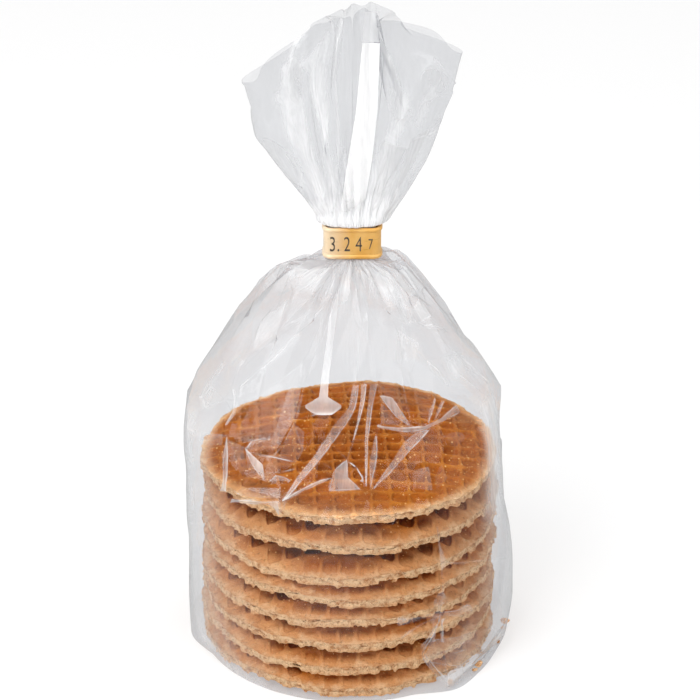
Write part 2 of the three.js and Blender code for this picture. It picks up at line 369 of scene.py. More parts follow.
def baked_crust():
    made, nodes = new_finish("baked_crust")
    rim = nodes.mark("rim")
    grain = nodes.add("Group", {"Fineness": 900.0, "Pores": 0.35}, node_tree=CRUMB_GRAIN).outputs
    patches = nodes.noise(55.0, 4.0)
    mottle = nodes.noise(210.0, 5.0, 0.7)
    # Golden ridges and brown pits, more baked in some patches than in others.
    bake = nodes.ramp(patches, (0.38, RIDGE_GOLD), (0.6, PIT_BROWN))
    deep = nodes.ramp(patches, (0.38, PIT_BROWN), (0.6, DEEP_BROWN))
    printed = nodes.graded(patches, 0.35, 0.65, 1.6, 0.3)
    pit = nodes.math("MULTIPLY", nodes.mark("pit"), printed)
    pit_share = nodes.graded(nodes.math("MULTIPLY_ADD", mottle, 5.0, pit), 1.9, 3.8)
    colour = nodes.mix(pit_share, bake, deep)
    uneven = nodes.graded(nodes.noise(150.0, 1.0), 0.43, 0.57, 0.0, 0.55)
    colour = nodes.mix(uneven, colour, PIT_BROWN)
    # Paler towards the rim, partly the crust's own colour and partly painted light; and painted
    # shade, dark brown, where the next biscuit overhangs it.
    peach = nodes.math("MULTIPLY_ADD", patches, 1.5, rim)
    colour = nodes.mix(nodes.graded(peach, 0.82, 1.5, 0.0, 0.9), colour, RIM_GOLD)
    painted_shade = nodes.math("MULTIPLY", nodes.mark("painted_shade"), 0.6)
    colour = nodes.mix(painted_shade, colour, DEEP_BROWN)
    # Bare crumb where the rim has crumbled, then pores, specks of sugar, and bright beads of sugar
    # that are partly painted glints.
    crumbly = nodes.math("MULTIPLY_ADD", mottle, 1.3, rim)
    crumb = nodes.ramp(mottle, (0.36, CUT_SHADE), (0.54, CUT_CREAM))
    colour = nodes.mix(nodes.graded(crumbly, 1.3, 1.75), colour, crumb)
    colour = nodes.mix(grain["Pore"], colour, PORE_BROWN)
    colour = nodes.mix(nodes.math("MULTIPLY", grain["Speck"], 0.4), colour, SUGAR_AND_GLINT)
    sugar_glints = nodes.add("TexVoronoi", {"Vector": nodes.place, "Scale": 500.0}).outputs["Distance"]
    sugar_glints = nodes.graded(nodes.math("MULTIPLY_ADD", mottle, 0.45, sugar_glints), 0.39, 0.32, 0.0, 0.85)
    sugar_glints = nodes.math("MULTIPLY", sugar_glints, nodes.math("SUBTRACT", 1.0, rim))
    colour = nodes.mix(sugar_glints, colour, SUGAR_AND_GLINT)
    nodes.cover(nodes.shader(
        "BsdfPrincipled", Base_Color=colour, Roughness=nodes.ramp(mottle, (0.3, 0.4), (0.7, 0.7)),
        Normal=nodes.bump(1.0, 0.5 * MM, grain["Height"]), Specular_IOR_Level=0.25))
    return made


def cut_crumb():
    made, nodes = new_finish("cut_crumb")
    grain = nodes.add("Group", {"Fineness": 1500.0, "Pores": 0.65}, node_tree=CRUMB_GRAIN).outputs
    patches = nodes.noise(480.0, 5.0, 0.75)
    colour = nodes.ramp(patches, (0.36, CUT_SHADE), (0.54, CUT_CREAM))
    crust = nodes.math("MULTIPLY_ADD", patches, 0.9, nodes.mark("cut_height"))
    colour = nodes.mix(nodes.graded(crust, 0.8, 1.5, 0.0, 0.6), colour, CUT_CRUST)
    colour = nodes.mix(grain["Pore"], colour, PORE_BROWN)
    nodes.cover(nodes.shader(
        "BsdfPrincipled", Base_Color=colour, Roughness=0.8,
        Normal=nodes.bump(1.0, 0.5 * MM, grain["Height"]), Specular_IOR_Level=0.2))
    return made


BAKED_CRUST = baked_crust()
CUT_CRUMB = cut_crumb()


def waffle_half(variant, turn, pale_rim):
    """One waffle half, its cut underside at z = 0 and its grid up, round and still flat."""
    half = pressed_sheet(turn)
    half.data.materials.append(BAKED_CRUST)
    cutter = ring_cutter(variant)
    cutter.data.materials.append(CUT_CRUMB)
    apply_modifier(half, "BOOLEAN", operation="INTERSECT", object=cutter, solver="MANIFOLD",
                   material_mode="TRANSFER")
    bpy.data.objects.remove(cutter)
    rows = places(half)
    rows[:, 2] += RIM_THICKNESS
    move_to(half, rows)
    mark(half, "pit", np.clip((RIM_THICKNESS - rows[:, 2]) / PIT_DEPTH, 0, 1))
    radius = np.hypot(rows[:, 0], rows[:, 1])
    mark(half, "rim", np.clip(1 - (BISCUIT_RADIUS - radius) / pale_rim, 0, 1))
    mark(half, "cut_height", np.clip(rows[:, 2] / RIM_THICKNESS, 0, 1))
    for grain, strength in CRUST_GRAIN:
        roughen(half, grain, strength)
    return half


TOP_PALE_RIM = 4.0 * MM  # how far in from the rim the crust is paler
# On the lower biscuits the paler band is wider: partly the crust's own colour, partly painted light
# on the outer slopes that the lamps reach between the rims.
PALE_RIM = 6.0 * MM
GRID_TURNS = [2.0, 20.0, 61.0, 38.0]  # degrees: the topmost biscuit, and the others by turns
top_half, *halves = [waffle_half(variant, turn, PALE_RIM if variant else TOP_PALE_RIM)
                     for variant, turn in enumerate(GRID_TURNS)]

# ---- The stack --------------------------------------------------------------------------------
# Eight biscuits lie on one another, the lowest on the bag's bottom. Each is thin at its rim and
# thicker in the middle, where the syrup is, and none lies quite straight. The upper two are loose.
WAFER_COUNT = 8
STACK_GROUND = 0.3 * MM
FIRST_RIM_HEIGHT = 3.2 * MM
RIM_PITCH = 8.15 * MM
LOOSE_GAPS = {6: 1.9 * MM, 7: 2.5 * MM}
SYRUP_THICKNESS = 0.6 * MM
SYRUP_ENDS = (43.0, 46.0)  # millimetres from the middle, where the halves come together
RIM_GAP = 0.01 * MM
RIM_CRACK = 0.7 * MM  # how wide the halves part at the rim in places
SEAM_SWAY = 0.6 * MM
SEAM_CLOUDS = (4.5 * MM, 1.6 * MM)
CRACK_CLOUD = 6 * MM
CRACK_FROM = 0.46  # cracks are few and far between
CLOUDS_APART = 0.09  # metres between the clouds of two biscuits
LOWER_BELLY = 2.75 * MM  # from the middle of the rim to the biscuit's flattest place below
UPPER_CROWN = 5.2 * MM  # the topmost biscuit, which nothing rests on
BELLY_RADIUS = 38.0 * MM
CROWN_RADIUS = 17.0 * MM
SHIFTS = [(-0.7, -0.1), (-0.8, 0.1), (-0.3, -0.2), (-0.8, 0.1),
          (0.0, -0.1), (-0.4, 0.2), (0.2, -0.2), (-0.4, -0.5)]  # millimetres
TURNS = [75, 26, 145, 152, 216, 318, 254, 0]  # degrees
LEANS = [(0, 0), (0.2, 0.2), (-0.3, 0.4), (0.2, -0.5), (-0.4, 0.2), (0.4, 0.5),
         (-0.5, 0.6), (-0.8, -0.4)]  # degrees
BISCUIT_GAP = 0.1 * MM  # air between the flattest places of two biscuits
RIM_WAVE = 0.62 * MM
PRESSED_FLAT = 0.55  # how much of its pits' depth an upper half loses at its rim
PRESSED_TOP = 0.25
PRESSED_ENDS = (38, 45)  # millimetres from the middle
PRESSED_HEIGHT = 0.4  # of a half's thickness: below it nothing is pressed
ROUNDED_RIM = 1.05 * MM  # how far the upper half's edge bends down
ROUNDED_ENDS = (40, 46.5)
ROUNDED_POWER = 2.5
SHADE_PAINTED_FROM = 43.8 * MM  # painted shade: in from here the crust is painted darker, under the next biscuit
SHADE_PAINTED_FADE = 4.5 * MM


def rim_height(index):
    return FIRST_RIM_HEIGHT + index * RIM_PITCH + sum(
        gap for first, gap in LOOSE_GAPS.items() if index >= first)


def seam_half(radius):
    """Half the gap between the halves: the syrup's, closing to a hair at the rim."""
    share = share_of(radius / MM, *SYRUP_ENDS)
    return SYRUP_THICKNESS / 2 * (1 - share) + RIM_GAP / 2 * share


def seam_at(rows, index):
    """How the seam sways up and down near the rim, and how far it is cracked open there."""
    outer = share_of(np.hypot(rows[:, 0], rows[:, 1]) / MM, *SYRUP_ENDS)
    sway, crack = np.zeros(len(rows)), np.zeros(len(rows))
    for number in np.nonzero(outer)[0]:
        place = Vector((rows[number, 0], rows[number, 1], CLOUDS_APART * index))
        place *= BISCUIT_RADIUS / math.hypot(place.x, place.y)
        slow, quick = (noise.noise(place / cloud) for cloud in SEAM_CLOUDS)
        sway[number] = slow + 0.5 * quick
        crack[number] = max(0.0, noise.noise(place / CRACK_CLOUD + Vector((9, 9, 9))) - CRACK_FROM)
    return outer * sway * SEAM_SWAY, outer * crack * RIM_CRACK


def belly(radius, rise, flat_radius):
    """How far a biscuit's face stands above its rim's face at a distance from the middle."""
    share = share_of(radius, flat_radius, BISCUIT_RADIUS)
    return rise * (1 + np.cos(share * math.pi)) / 2


def wave(rows, index):
    """The slow ups and downs of one biscuit, which its two halves share."""
    angle = np.arctan2(rows[:, 1], rows[:, 0])
    share = np.clip(np.hypot(rows[:, 0], rows[:, 1]) / BISCUIT_RADIUS, 0, 1) ** 3
    return RIM_WAVE * share * (np.sin(2 * angle + 1.7 * index)
                               + 0.6 * np.sin(5 * angle + 2.9 * index)
                               + 0.35 * np.sin(11 * angle + 4.3 * index))


def lay(piece, rows, index):
    """Leans a biscuit's part and lays it in its place in the stack, the lowest one pressed flat."""
    rows[:, 2] += wave(rows, index)
    lean_x, lean_y = (math.radians(part) for part in LEANS[index])
    lean = Matrix.Rotation(lean_x, 3, "X") @ Matrix.Rotation(lean_y, 3, "Y")
    rows = rows @ np.array(lean).T
    shift_x, shift_y = (part * MM for part in SHIFTS[index])
    rows = rows + [STACK_X + shift_x, STACK_Y + shift_y, rim_height(index)]
    rows[:, 2] = np.maximum(rows[:, 2], STACK_GROUND)
    move_to(piece, rows)


def choose(piece):
    """Selects one piece alone, for the next operator."""
    deselect()
    piece.select_set(True)
    bpy.context.view_layer.objects.active = piece


def smooth(piece, degrees):
    """Shades a piece smooth, but for the edges that are sharper than an angle."""
    choose(piece)
    bpy.ops.object.shade_smooth_by_angle(angle=math.radians(degrees))


def lay_half(source, index, side):
    """A copy of a waffle half, bellied and laid above (side 1) or below (-1) the syrup."""
    name = f"wafer_{index + 1}_{'upper' if side > 0 else 'lower'}"
    piece = bpy.data.objects.new(name, source.data.copy())
    bpy.context.collection.objects.link(piece)
    extra = LOOSE_GAPS.get(index + 1 if side > 0 else index, 0) / 2
    crowned = side > 0 and index == WAFER_COUNT - 1
    if side < 0:
        rise = LOWER_BELLY + extra
    elif crowned:
        rise = UPPER_CROWN
    else:
        rise = RIM_PITCH - LOWER_BELLY - BISCUIT_GAP + extra
    rise -= RIM_THICKNESS + SYRUP_THICKNESS / 2
    rows = places(piece)
    height = np.clip(rows[:, 2] / RIM_THICKNESS, 0, 1)
    radius = np.hypot(rows[:, 0], rows[:, 1])
    if side > 0:
        outer = share_of(radius / MM, *ROUNDED_ENDS)
        pressed = PRESSED_TOP * outer if crowned else (
            PRESSED_FLAT * share_of(radius / MM, *PRESSED_ENDS))
        lost = (1 - height) * pressed * np.clip(height / PRESSED_HEIGHT, 0, 1)
        rows[:, 2] += lost * RIM_THICKNESS - height * outer ** ROUNDED_POWER * ROUNDED_RIM
        pits = piece.data.attributes["pit"].data
        for number, share in enumerate(1 - pressed):
            pits[number].value *= share
    flat_radius = CROWN_RADIUS if crowned else BELLY_RADIUS
    rows[:, 2] += seam_half(radius) + height * belly(radius, rise, flat_radius)
    # Painted shade: the crust is darkened where the next biscuit overhangs it.
    if not crowned:
        mark(piece, "painted_shade", np.clip((SHADE_PAINTED_FROM - radius) / SHADE_PAINTED_FADE, 0, 1))
    if side < 0:
        rows[:, 2] *= -1
        piece.data.flip_normals()
    spin = Matrix.Rotation(math.radians(TURNS[index]), 3, "Z")
    rows = rows @ np.array(spin).T
    sway, crack = seam_at(rows, index)
    rows[:, 2] += (1 - height) * (sway + side * crack)
    lay(piece, rows, index)
    smooth(piece, degrees=38)
    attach(piece, "root")


# Caramel syrup: a dark, sticky, glossy layer that stops just short of the rim, or wells out of it.
SYRUP_RADIUS = 45.4 * MM
SYRUP_CORNERS = 240
SYRUP_EDGE = 4 * MM  # how far in from its edge the layer has a ring of corners of its own
SYRUP_SWELL = 1.2 * MM
SWELL_CLOUD = 5 * MM
SWELLS_APART = 40  # millimetres between the clouds of two layers


def caramel_syrup():
    made, nodes = new_finish("caramel_syrup")
    flow = nodes.noise(240.0)
    nodes.cover(nodes.shader(
        "BsdfPrincipled", Roughness=0.3, Normal=nodes.bump(0.5, 0.3 * MM, flow),
        Base_Color=nodes.ramp(flow, (0.35, paint(96, 44, 12)), (0.65, paint(150, 82, 30)))))
    return made


CARAMEL_SYRUP = caramel_syrup()


def lay_syrup(index):
    deselect()
    bpy.ops.mesh.primitive_circle_add(
        vertices=SYRUP_CORNERS, radius=SYRUP_RADIUS, fill_type="NGON", location=(0, 0, 0))
    syrup = bpy.context.object
    syrup.name = f"wafer_{index + 1}_syrup"
    edit()
    bpy.ops.mesh.inset(thickness=SYRUP_EDGE, depth=0)
    bpy.ops.mesh.select_all(action="SELECT")
    for _ in range(2):
        bpy.ops.mesh.extrude_region_move(
            TRANSFORM_OT_translate={"value": (0, 0, SYRUP_THICKNESS / 2)})
    close_edit()
    rows = places(syrup)
    rows[:, 2] -= SYRUP_THICKNESS / 2
    rows[:, 2] *= seam_half(np.hypot(rows[:, 0], rows[:, 1])) / (SYRUP_THICKNESS / 2)
    for row in rows:
        radius = math.hypot(row[0], row[1])
        if radius > SYRUP_RADIUS - MM:
            swell = noise.noise(Vector((row[0], row[1], index * MM * SWELLS_APART)) / SWELL_CLOUD)
            row[:2] *= 1 + swell * SYRUP_SWELL / radius
    lay(syrup, rows, index)
    syrup.data.materials.append(CARAMEL_SYRUP)
    smooth(syrup, degrees=50)
    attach(syrup, "root")


for level in range(WAFER_COUNT):
    is_top = level == WAFER_COUNT - 1
    source = top_half if is_top else halves[level % len(halves)]
    lay_half(source, level, 1)
    lay_half(source, level, -1)
    lay_syrup(level)
for source in (top_half, *halves):
    bpy.data.objects.remove(source)

# ---- The clip band ----------------------------------------------------------------------------
# A strip of gold-coloured laminate with a wire along each long edge, bent round the neck by
# machine. Its solid is right as it is. Dark digits are stamped on its front.
GOLD = paint(228, 170, 82)
GOLD_WORN = paint(244, 200, 126)
GOLD_PAINTED_LIT = paint(250, 232, 204)
PAINTED_LIGHT_ENDS = (0.5 * MM, 9 * MM)  # from the band's left end, where it is painted paler as light
INK = paint(58, 50, 48)
DIGIT_DEPTH = 0.06 * MM
DIGITS = [  # the digit, its middle across the band, its height, its foot above the band's middle
    ("3", -6.1, 4.9, -2.45), (".", -4.3, 4.9, -2.45), ("2", -1.6, 4.9, -2.45),
    ("4", 2.0, 4.9, -2.45), ("7", 5.7, 3.5, -1.75),
]
DIGIT_WIDTH_SHARE = 0.62
LETTER_HEIGHT = 0.695  # a digit in the letter's own units, and how far its lines are thinned
LETTER_THINNING = 0.003
LETTER_THICKNESS = 0.04
WIRE_PROUD = 0.4 * MM  # how far the wires stand out before the band's flat front


def gold_laminate():
    made, nodes = new_finish("gold_laminate")
    brushed = nodes.noise(300.0, 3.0, place=nodes.stretch(nodes.place, (1, 1, 9)))
    dull = nodes.noise(180.0)
    colour = nodes.mix(nodes.ramp(dull, (0.4, 0.0), (0.7, 0.55)), GOLD, GOLD_WORN)
    across = nodes.add("SeparateXYZ", {"Vector": nodes.place}).outputs["X"]
    # Painted light: the band's left end is painted paler, towards cream, for the brighter light on
    # that end.
    painted_light = nodes.graded(across, clip_low.x + PAINTED_LIGHT_ENDS[0], clip_low.x + PAINTED_LIGHT_ENDS[1], 0.85, 0.0)
    nodes.cover(nodes.shader(
        "BsdfPrincipled", Base_Color=nodes.mix(painted_light, colour, GOLD_PAINTED_LIT), Metallic=0.2,
        Roughness=nodes.ramp(brushed, (0.3, 0.26), (0.7, 0.42)),
        Normal=nodes.bump(0.35, 0.08 * MM, dull)))
    return made


clip_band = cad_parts["clip_band"]
clip_band.data.materials.clear()
clip_band.data.materials.append(gold_laminate())


def stamped_ink():
    made, nodes = new_finish("stamped_ink")
    thin = nodes.ramp(nodes.noise(1500.0), (0.4, INK), (0.75, paint(120, 104, 86)))
    nodes.cover(nodes.shader("BsdfPrincipled", Base_Color=thin, Roughness=0.55))
    return made


def stamp(digit, across, height, foot):
    """One digit of the stamp, standing just proud of the band's flat front."""
    deselect()
    bpy.ops.object.text_add(location=(0, 0, 0))
    text = bpy.context.object
    text.data.body = digit
    text.data.extrude = LETTER_THICKNESS
    text.data.offset = -LETTER_THINNING
    bpy.ops.object.convert(target="MESH")
    rows = places(text)
    middle = (rows[:, 0].min() + rows[:, 0].max()) / 2
    scale = height * MM / LETTER_HEIGHT
    front = clip_low.y + WIRE_PROUD
    made = np.empty_like(rows)
    made[:, 0] = CLIP_X + across * MM + (rows[:, 0] - middle) * scale * DIGIT_WIDTH_SHARE
    made[:, 1] = front - np.where(rows[:, 2] > 0, DIGIT_DEPTH, -DIGIT_DEPTH)
    made[:, 2] = (clip_low.z + clip_high.z) / 2 + foot * MM + rows[:, 1] * scale
    move_to(text, made)
    return text


def joined(pieces, name):
    """Several pieces as one, under a name and with no finish yet."""
    deselect()
    for piece in pieces:
        piece.select_set(True)
    bpy.context.view_layer.objects.active = pieces[0]
    bpy.ops.object.join()
    whole = bpy.context.object
    whole.name = name
    whole.data.materials.clear()
    return whole


digits = joined([stamp(*digit) for digit in DIGITS], "stamped_digits")
digits.data.materials.append(stamped_ink())
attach(digits, "root")

# ---- The film ---------------------------------------------------------------------------------
# One tube of crisp clear film holds the stack: folded flat under it, smooth beside it, drawn in
# over it and gathered through the clip, and fanned out above it to its cut mouth.
STACK_TOP = 66 * MM
FILM_GROUND = 0.15 * MM
MOUTH_DROP = 0.2 * MM
MOUTH_SIDE_DROP = 2.8 * MM  # the fan's two outer corners hang
MOUTH_SIDE_POWER = 8
MOUTH_CORNERS = 84
FAN_CORE = 3 * MM  # nothing so near the clip's axis belongs to the mouth's edge
FILM_ROUND = 308.0  # millimetres round the tube

# The solid bag gives the film its form. A place on it is a turn, which is 0 and 1 at the back and
# 0.5 at the front, and a station: -1 at the bottom's middle, 0 at the base's fold, 1 at the stack's
# top, 2 and 3 at the clip's edges, and 4 at the mouth.
STATIONS = (-1, 0, 1, 2, 3, 4)
ARCS = (-50.0, 0.0, 66.0, 149.0, 159.4, 225.0)  # millimetres along the film from the base's fold
SLOPE_POWER = 1.2

skin_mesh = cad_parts["bag"].data
skin = BVHTree.FromPolygons([v.co for v in skin_mesh.vertices],
                            [p.vertices for p in skin_mesh.polygons])


def outward(turn):
    angle = math.pi / 2 + math.tau * turn
    return Vector((math.cos(angle), math.sin(angle), 0))


def reach(start, direction):
    """How far the solid bag's skin is from a place inside it."""
    return skin.ray_cast(start, direction)[3]


def mouth_heights():
    """The height of the mouth's edge in each direction from the clip."""
    heights = [0.0] * MOUTH_CORNERS
    for vertex in skin_mesh.vertices:
        x, y, z = vertex.co.x - CLIP_X, vertex.co.y - STACK_Y, vertex.co.z
        if z > clip_high.z + MM and math.hypot(x, y) > FAN_CORE:
            turn = (math.atan2(y, x) / math.tau - 0.25) % 1
            corner = round(turn * MOUTH_CORNERS) % MOUTH_CORNERS
            heights[corner] = max(heights[corner], z)
    return heights


MOUTH = mouth_heights()


def mouth_height(turn):
    place = (turn % 1) * MOUTH_CORNERS
    first = int(place) % MOUTH_CORNERS
    share = place - int(place)
    return MOUTH[first] * (1 - share) + MOUTH[(first + 1) % MOUTH_CORNERS] * share


def steepest(turn):
    """The slope angle at which the clip's lower edge is seen from the middle of the stack's top."""
    neck = reach(Vector((CLIP_X, STACK_Y, clip_low.z)), outward(turn))
    return math.atan2(clip_low.z - STACK_TOP, neck)


def film_place(turn, station, push=0.0):
    """The place of the film, pushed out or in from the solid bag's skin by push millimetres."""
    out = outward(turn)
    push *= MM
    if station <= 1:
        height = FILM_GROUND + max(station, 0) * (STACK_TOP - FILM_GROUND)
        start = Vector((STACK_X, STACK_Y, height))
        return start + out * ((reach(start, out) + push) * (1 + min(station, 0)))
    if station <= 2:
        share = station - 1
        start = Vector((STACK_X + (CLIP_X - STACK_X) * share, STACK_Y, STACK_TOP))
        slope = steepest(turn) * (1 - (1 - share) ** SLOPE_POWER)
        direction = out * math.cos(slope) + Vector((0, 0, math.sin(slope)))
        return start + direction * (reach(start, direction) + push)
    if station <= 3:
        height = clip_low.z + (station - 2) * (clip_high.z - clip_low.z)
    else:
        sideways = abs(math.sin(math.tau * turn))
        top = mouth_height(turn) - MOUTH_DROP - MOUTH_SIDE_DROP * sideways ** MOUTH_SIDE_POWER
        height = clip_high.z + (station - 3) * (top - clip_high.z)
    start = Vector((CLIP_X, STACK_Y, height))
    return start + out * (reach(start, out) + push)


def film_address(place):
    """The turn and station of a place on the solid bag's skin."""
    x = place.x - (STACK_X if place.z < STACK_TOP else CLIP_X)
    y = place.y - STACK_Y
    turn = (math.atan2(y, x) / math.tau - 0.25) % 1
    if place.z <= STACK_TOP:
        return turn, place.z / STACK_TOP
    if place.z < clip_low.z:
        slope = math.atan2(place.z - STACK_TOP, math.hypot(x, y)) / steepest(turn)
        return turn, 2 - max(0.0, 1 - slope) ** (1 / SLOPE_POWER)
    if place.z <= clip_high.z:
        return turn, 2 + (place.z - clip_low.z) / (clip_high.z - clip_low.z)
    return turn, 3 + min(1.0, (place.z - clip_high.z) / (mouth_height(turn) - clip_high.z))


def seen_address(pixel):
    """The turn and station of the front film that a pixel shows, or passes closest to."""
    return film_address(seen_place(skin, pixel))


def arc(station):
    """Millimetres along the film from the base's fold up to a station."""
    return float(np.interp(station, STATIONS, ARCS))


FOLD_LIFT = 0.5  # of a strip's or facet's push
TRIES = 5  # for each loose point that there is room for


class Creases:
    """The flat film with the lines along which it is creased, in millimetres round and along."""

    def __init__(self):
        self.points, self.pushes, self.edges, self.marks, self.sheens = [], [], [], [], []

    def point(self, turn, station, push):
        self.points.append((turn * FILM_ROUND, arc(station)))
        self.pushes.append(push)
        return len(self.points) - 1

    def line(self, stops, crease, white):
        """A crease through stops of (turn, station, push), how sharp and how whitened it is, partly
        as a painted highlight.
        """
        made = [self.point(*stop) for stop in stops]
        for first, second in zip(made, made[1:]):
            self.edges.append((first, second))
            self.marks.append((crease, white))
        return made

    def strip(self, stops, push, sheen, white):
        """A folded strip of (x, y, width) pixels, tilted up to push, with a painted sheen brightest
        on its left.
        """
        left, right = [], []
        for index, (x, y, width) in enumerate(stops):
            before, after = stops[max(index - 1, 0)], stops[min(index + 1, len(stops) - 1)]
            along_x, along_y = after[0] - before[0], after[1] - before[1]
            length = math.hypot(along_x, along_y)
            side_x, side_y = along_y / length * width / 2, -along_x / length * width / 2
            left.append((*seen_address((x + side_x, y + side_y)), push * FOLD_LIFT))
            right.append((*seen_address((x - side_x, y - side_y)), 0.0))
        bright = self.line(left, 1.0, white)
        outline = bright + self.line(right, 1.0, white * 0.5)[::-1]
        self.sheens.append(([self.points[index] for index in outline],
                            [self.points[index] for index in bright], sheen))

    def facet(self, stops, sheen, white):
        """A flat facet of (x, y, push) corners, pixels first, with a painted sheen brightest along
        its first side.
        """
        corners = [(*seen_address(stop[:2]), stop[2] * FOLD_LIFT) for stop in stops]
        outline = self.line(corners, 1.0, white)
        self.line(corners[-1:] + corners[:1], 1.0, white)
        self.sheens.append(([self.points[index] for index in outline],
                            [self.points[index] for index in outline[:2]], sheen))

    def scatter(self, chance, turns, stations, spacing, push):
        """Loose points, each at least a spacing away from all that is there."""
        tries = int(TRIES * (turns[1] - turns[0]) * FILM_ROUND
                    * (arc(stations[1]) - arc(stations[0])) / spacing ** 2)
        for _ in range(tries):
            turn = chance.uniform(*turns)
            station = chance.uniform(*stations)
            here = (turn * FILM_ROUND, arc(station))
            gap = min(math.hypot(here[0] - x, here[1] - y) for x, y in self.points)
            if gap > spacing:
                self.point(turn, station, chance.uniform(*push))


creases = Creases()
chance = random.Random(11)

# The tube's edges: the two sides of the back seam, the middle of the bottom, the mouth, and the
# fold round the base.
BORDER_STATIONS = [-0.62, -0.3, 0, 0.08, 0.2, 0.36, 0.52, 0.68, 0.84, 1, 1.12, 1.24, 1.36, 1.48,
                   1.6, 1.72, 1.83, 1.93, 2, 2.5, 3, 3.12, 3.3, 3.5, 3.7, 3.86]
BOTTOM_CORNERS = 28
MOUTH_POINTS = 60
BASE_CORNERS = 64
for border in (0, 1):
    creases.line([(border, s, 0) for s in [-1, *BORDER_STATIONS, 4]], 0.0, 0.0)
for station, count, crease, white in ((-1, BOTTOM_CORNERS, 0.0, 0.0), (4, MOUTH_POINTS, 0.0, 0.0),
                                      (0, BASE_CORNERS, 1.0, 0.2)):
    creases.line([(i / count, station, 0) for i in range(count + 1)], crease, white)

# The gathers run from the shoulder through the clip. Behind, they go on into the fan.
GATHERS = 60
SHOULDER_PUSH = 1.9
FAN_PUSH = 1.5
SHOULDER_STATIONS = (1.45, 1.6, 1.75, 1.87, 1.95)
CLIP_STOPS = ((2.5, -0.5), (2.97, 0.1), (3.006, 0.1), (3.036, 0))  # station and push
FAN_STATIONS = (3.02, 3.08, 3.2, 3.35, 3.5, 3.65, 3.8)
FRONT_TURNS = (0.27, 0.73)
for i in range(GATHERS):
    turn = (i + 0.5 + chance.uniform(-0.3, 0.3)) / GATHERS
    side = 1 if i % 2 else -1
    drift = chance.uniform(-0.03, 0.03)
    end = chance.uniform(1.35, 1.85)
    stops = []
    for station in (end, *[s for s in SHOULDER_STATIONS if s > end + 0.06]):
        share = (station - end) / (2 - end)
        depth = SHOULDER_PUSH * math.sin(math.pi * min(1, share ** 0.8 * 0.9)) if share else 0
        away = turn + drift * (1 - share)
        stops.append((away, station, side * depth * chance.uniform(0.6, 1.1)))
    stops.append((turn, 2, -0.3 + 0.2 * side))
    stops += [(turn, station, push) for station, push in CLIP_STOPS]
    in_front = FRONT_TURNS[0] < turn < FRONT_TURNS[1]
    fan_end = chance.uniform(3.05, 3.3) if in_front else chance.uniform(3.3, 3.97)
    fan_drift = chance.uniform(-0.012, 0.012)
    for station in [s for s in FAN_STATIONS if s < fan_end] + [fan_end]:
        share = station - 3
        depth = FAN_PUSH * min(1, 0.25 + share * 1.1) * chance.uniform(0.5, 1.1)
        stops.append((turn + fan_drift * share, station, side * depth))
    creases.line(sorted(stops, key=lambda stop: stop[1]), chance.uniform(0.3, 0.8),
                 chance.uniform(0.0, 0.15))

# Single creases on the front, as pixels of the square image: how far they stand out in
# millimetres, and how whitened they are, the whitening partly a painted highlight.
SEEN_CREASES = [
    ([(190, 428), (215, 436), (230, 435)], 0.4, 0.15),
    ([(266, 272), (250, 312), (214, 347), (188, 390)], 0.6, 0.2),
    ([(298, 262), (291, 276), (295, 297)], 0.6, 0.2),
    ([(333, 298), (305, 361), (284, 379), (262, 395)], 0.5, 0.2),
    ([(367, 266), (360, 330), (358, 380)], 0.5, 0.25),
    ([(388, 268), (430, 320), (444, 344), (484, 392)], 0.6, 0.2),
    ([(402, 326), (402, 371), (404, 388), (412, 423)], 0.4, 0.3),
    ([(447, 357), (458, 375), (482, 395)], 0.5, 0.25),
    ([(350, 300), (372, 345), (377, 382)], -0.4, 0.15),
    ([(312, 300), (282, 330), (240, 372)], 0.4, 0.15),
    ([(306, 384), (305, 392), (298, 420), (285, 445), (276, 456)], 0.35, 0.25),
    ([(250, 453), (271, 456), (299, 462)], 0.35, 0.6),
    ([(266, 473), (284, 472), (300, 468)], 0.3, 0.45),
    ([(351, 462), (358, 467), (364, 477), (365, 482)], 0.3, 0.7),
    ([(395, 468), (425, 461)], 0.3, 0.1),
    ([(305, 407), (317, 414.5), (332, 414.7), (342, 407)], 0.1, 0.6),
    ([(435, 512), (439, 546), (441, 570), (443, 592), (440, 617), (442, 639)], 0.35, 0.18),
    ([(441, 565), (470, 561), (493, 559), (508, 559)], 0.5, 0.25),
    ([(400, 633), (439, 616), (469, 613)], 0.4, 0.2),
    ([(452, 630), (467, 642), (483, 652)], -0.5, 0.1),
    ([(430, 640), (421, 652), (423, 660), (434, 673), (447, 686)], 0.5, 0.35),
    ([(447, 655), (478, 645), (505, 634)], 0.4, 0.2),
    ([(424, 661), (452, 648), (470, 641)], 0.4, 0.2),
    ([(299, 34), (289, 68), (293, 108), (311, 152), (325, 203)], 1.0, 0.0),
    ([(320, 22), (310, 62), (312, 95), (322, 150), (328, 214)], -1.0, 0.0),
    ([(335, 18), (335, 60), (338, 100), (341, 152), (338, 214)], 0.8, 0.0),
    ([(352, 8), (350, 61), (348, 110), (342, 160), (336, 214)], -0.9, 0.0),
    ([(384, 14), (385, 49), (382, 98), (376, 150), (370, 214)], -0.8, 0.0),
    ([(394, 27), (397, 68), (401, 115), (384, 155), (378, 212)], 1.0, 0.0),
    ([(431, 52), (452, 78)], 0.6, 0.25),
    ([(450, 83), (416, 98)], 0.6, 0.2),
    ([(423, 88), (413, 118), (404, 144), (382, 186)], 0.8, 0.05),
    ([(379, 124), (404, 144)], 0.5, 0.1),
    ([(438, 118), (430, 128), (404, 144)], -0.6, 0.15),
    ([(257, 140), (272, 130), (298, 152)], 0.6, 0.15),
    ([(262, 72), (284, 92), (293, 108)], -0.6, 0.05),
]
for pixels, push, white in SEEN_CREASES:
    creases.line([(*seen_address(pixel), push) for pixel in pixels], 1.0, white)
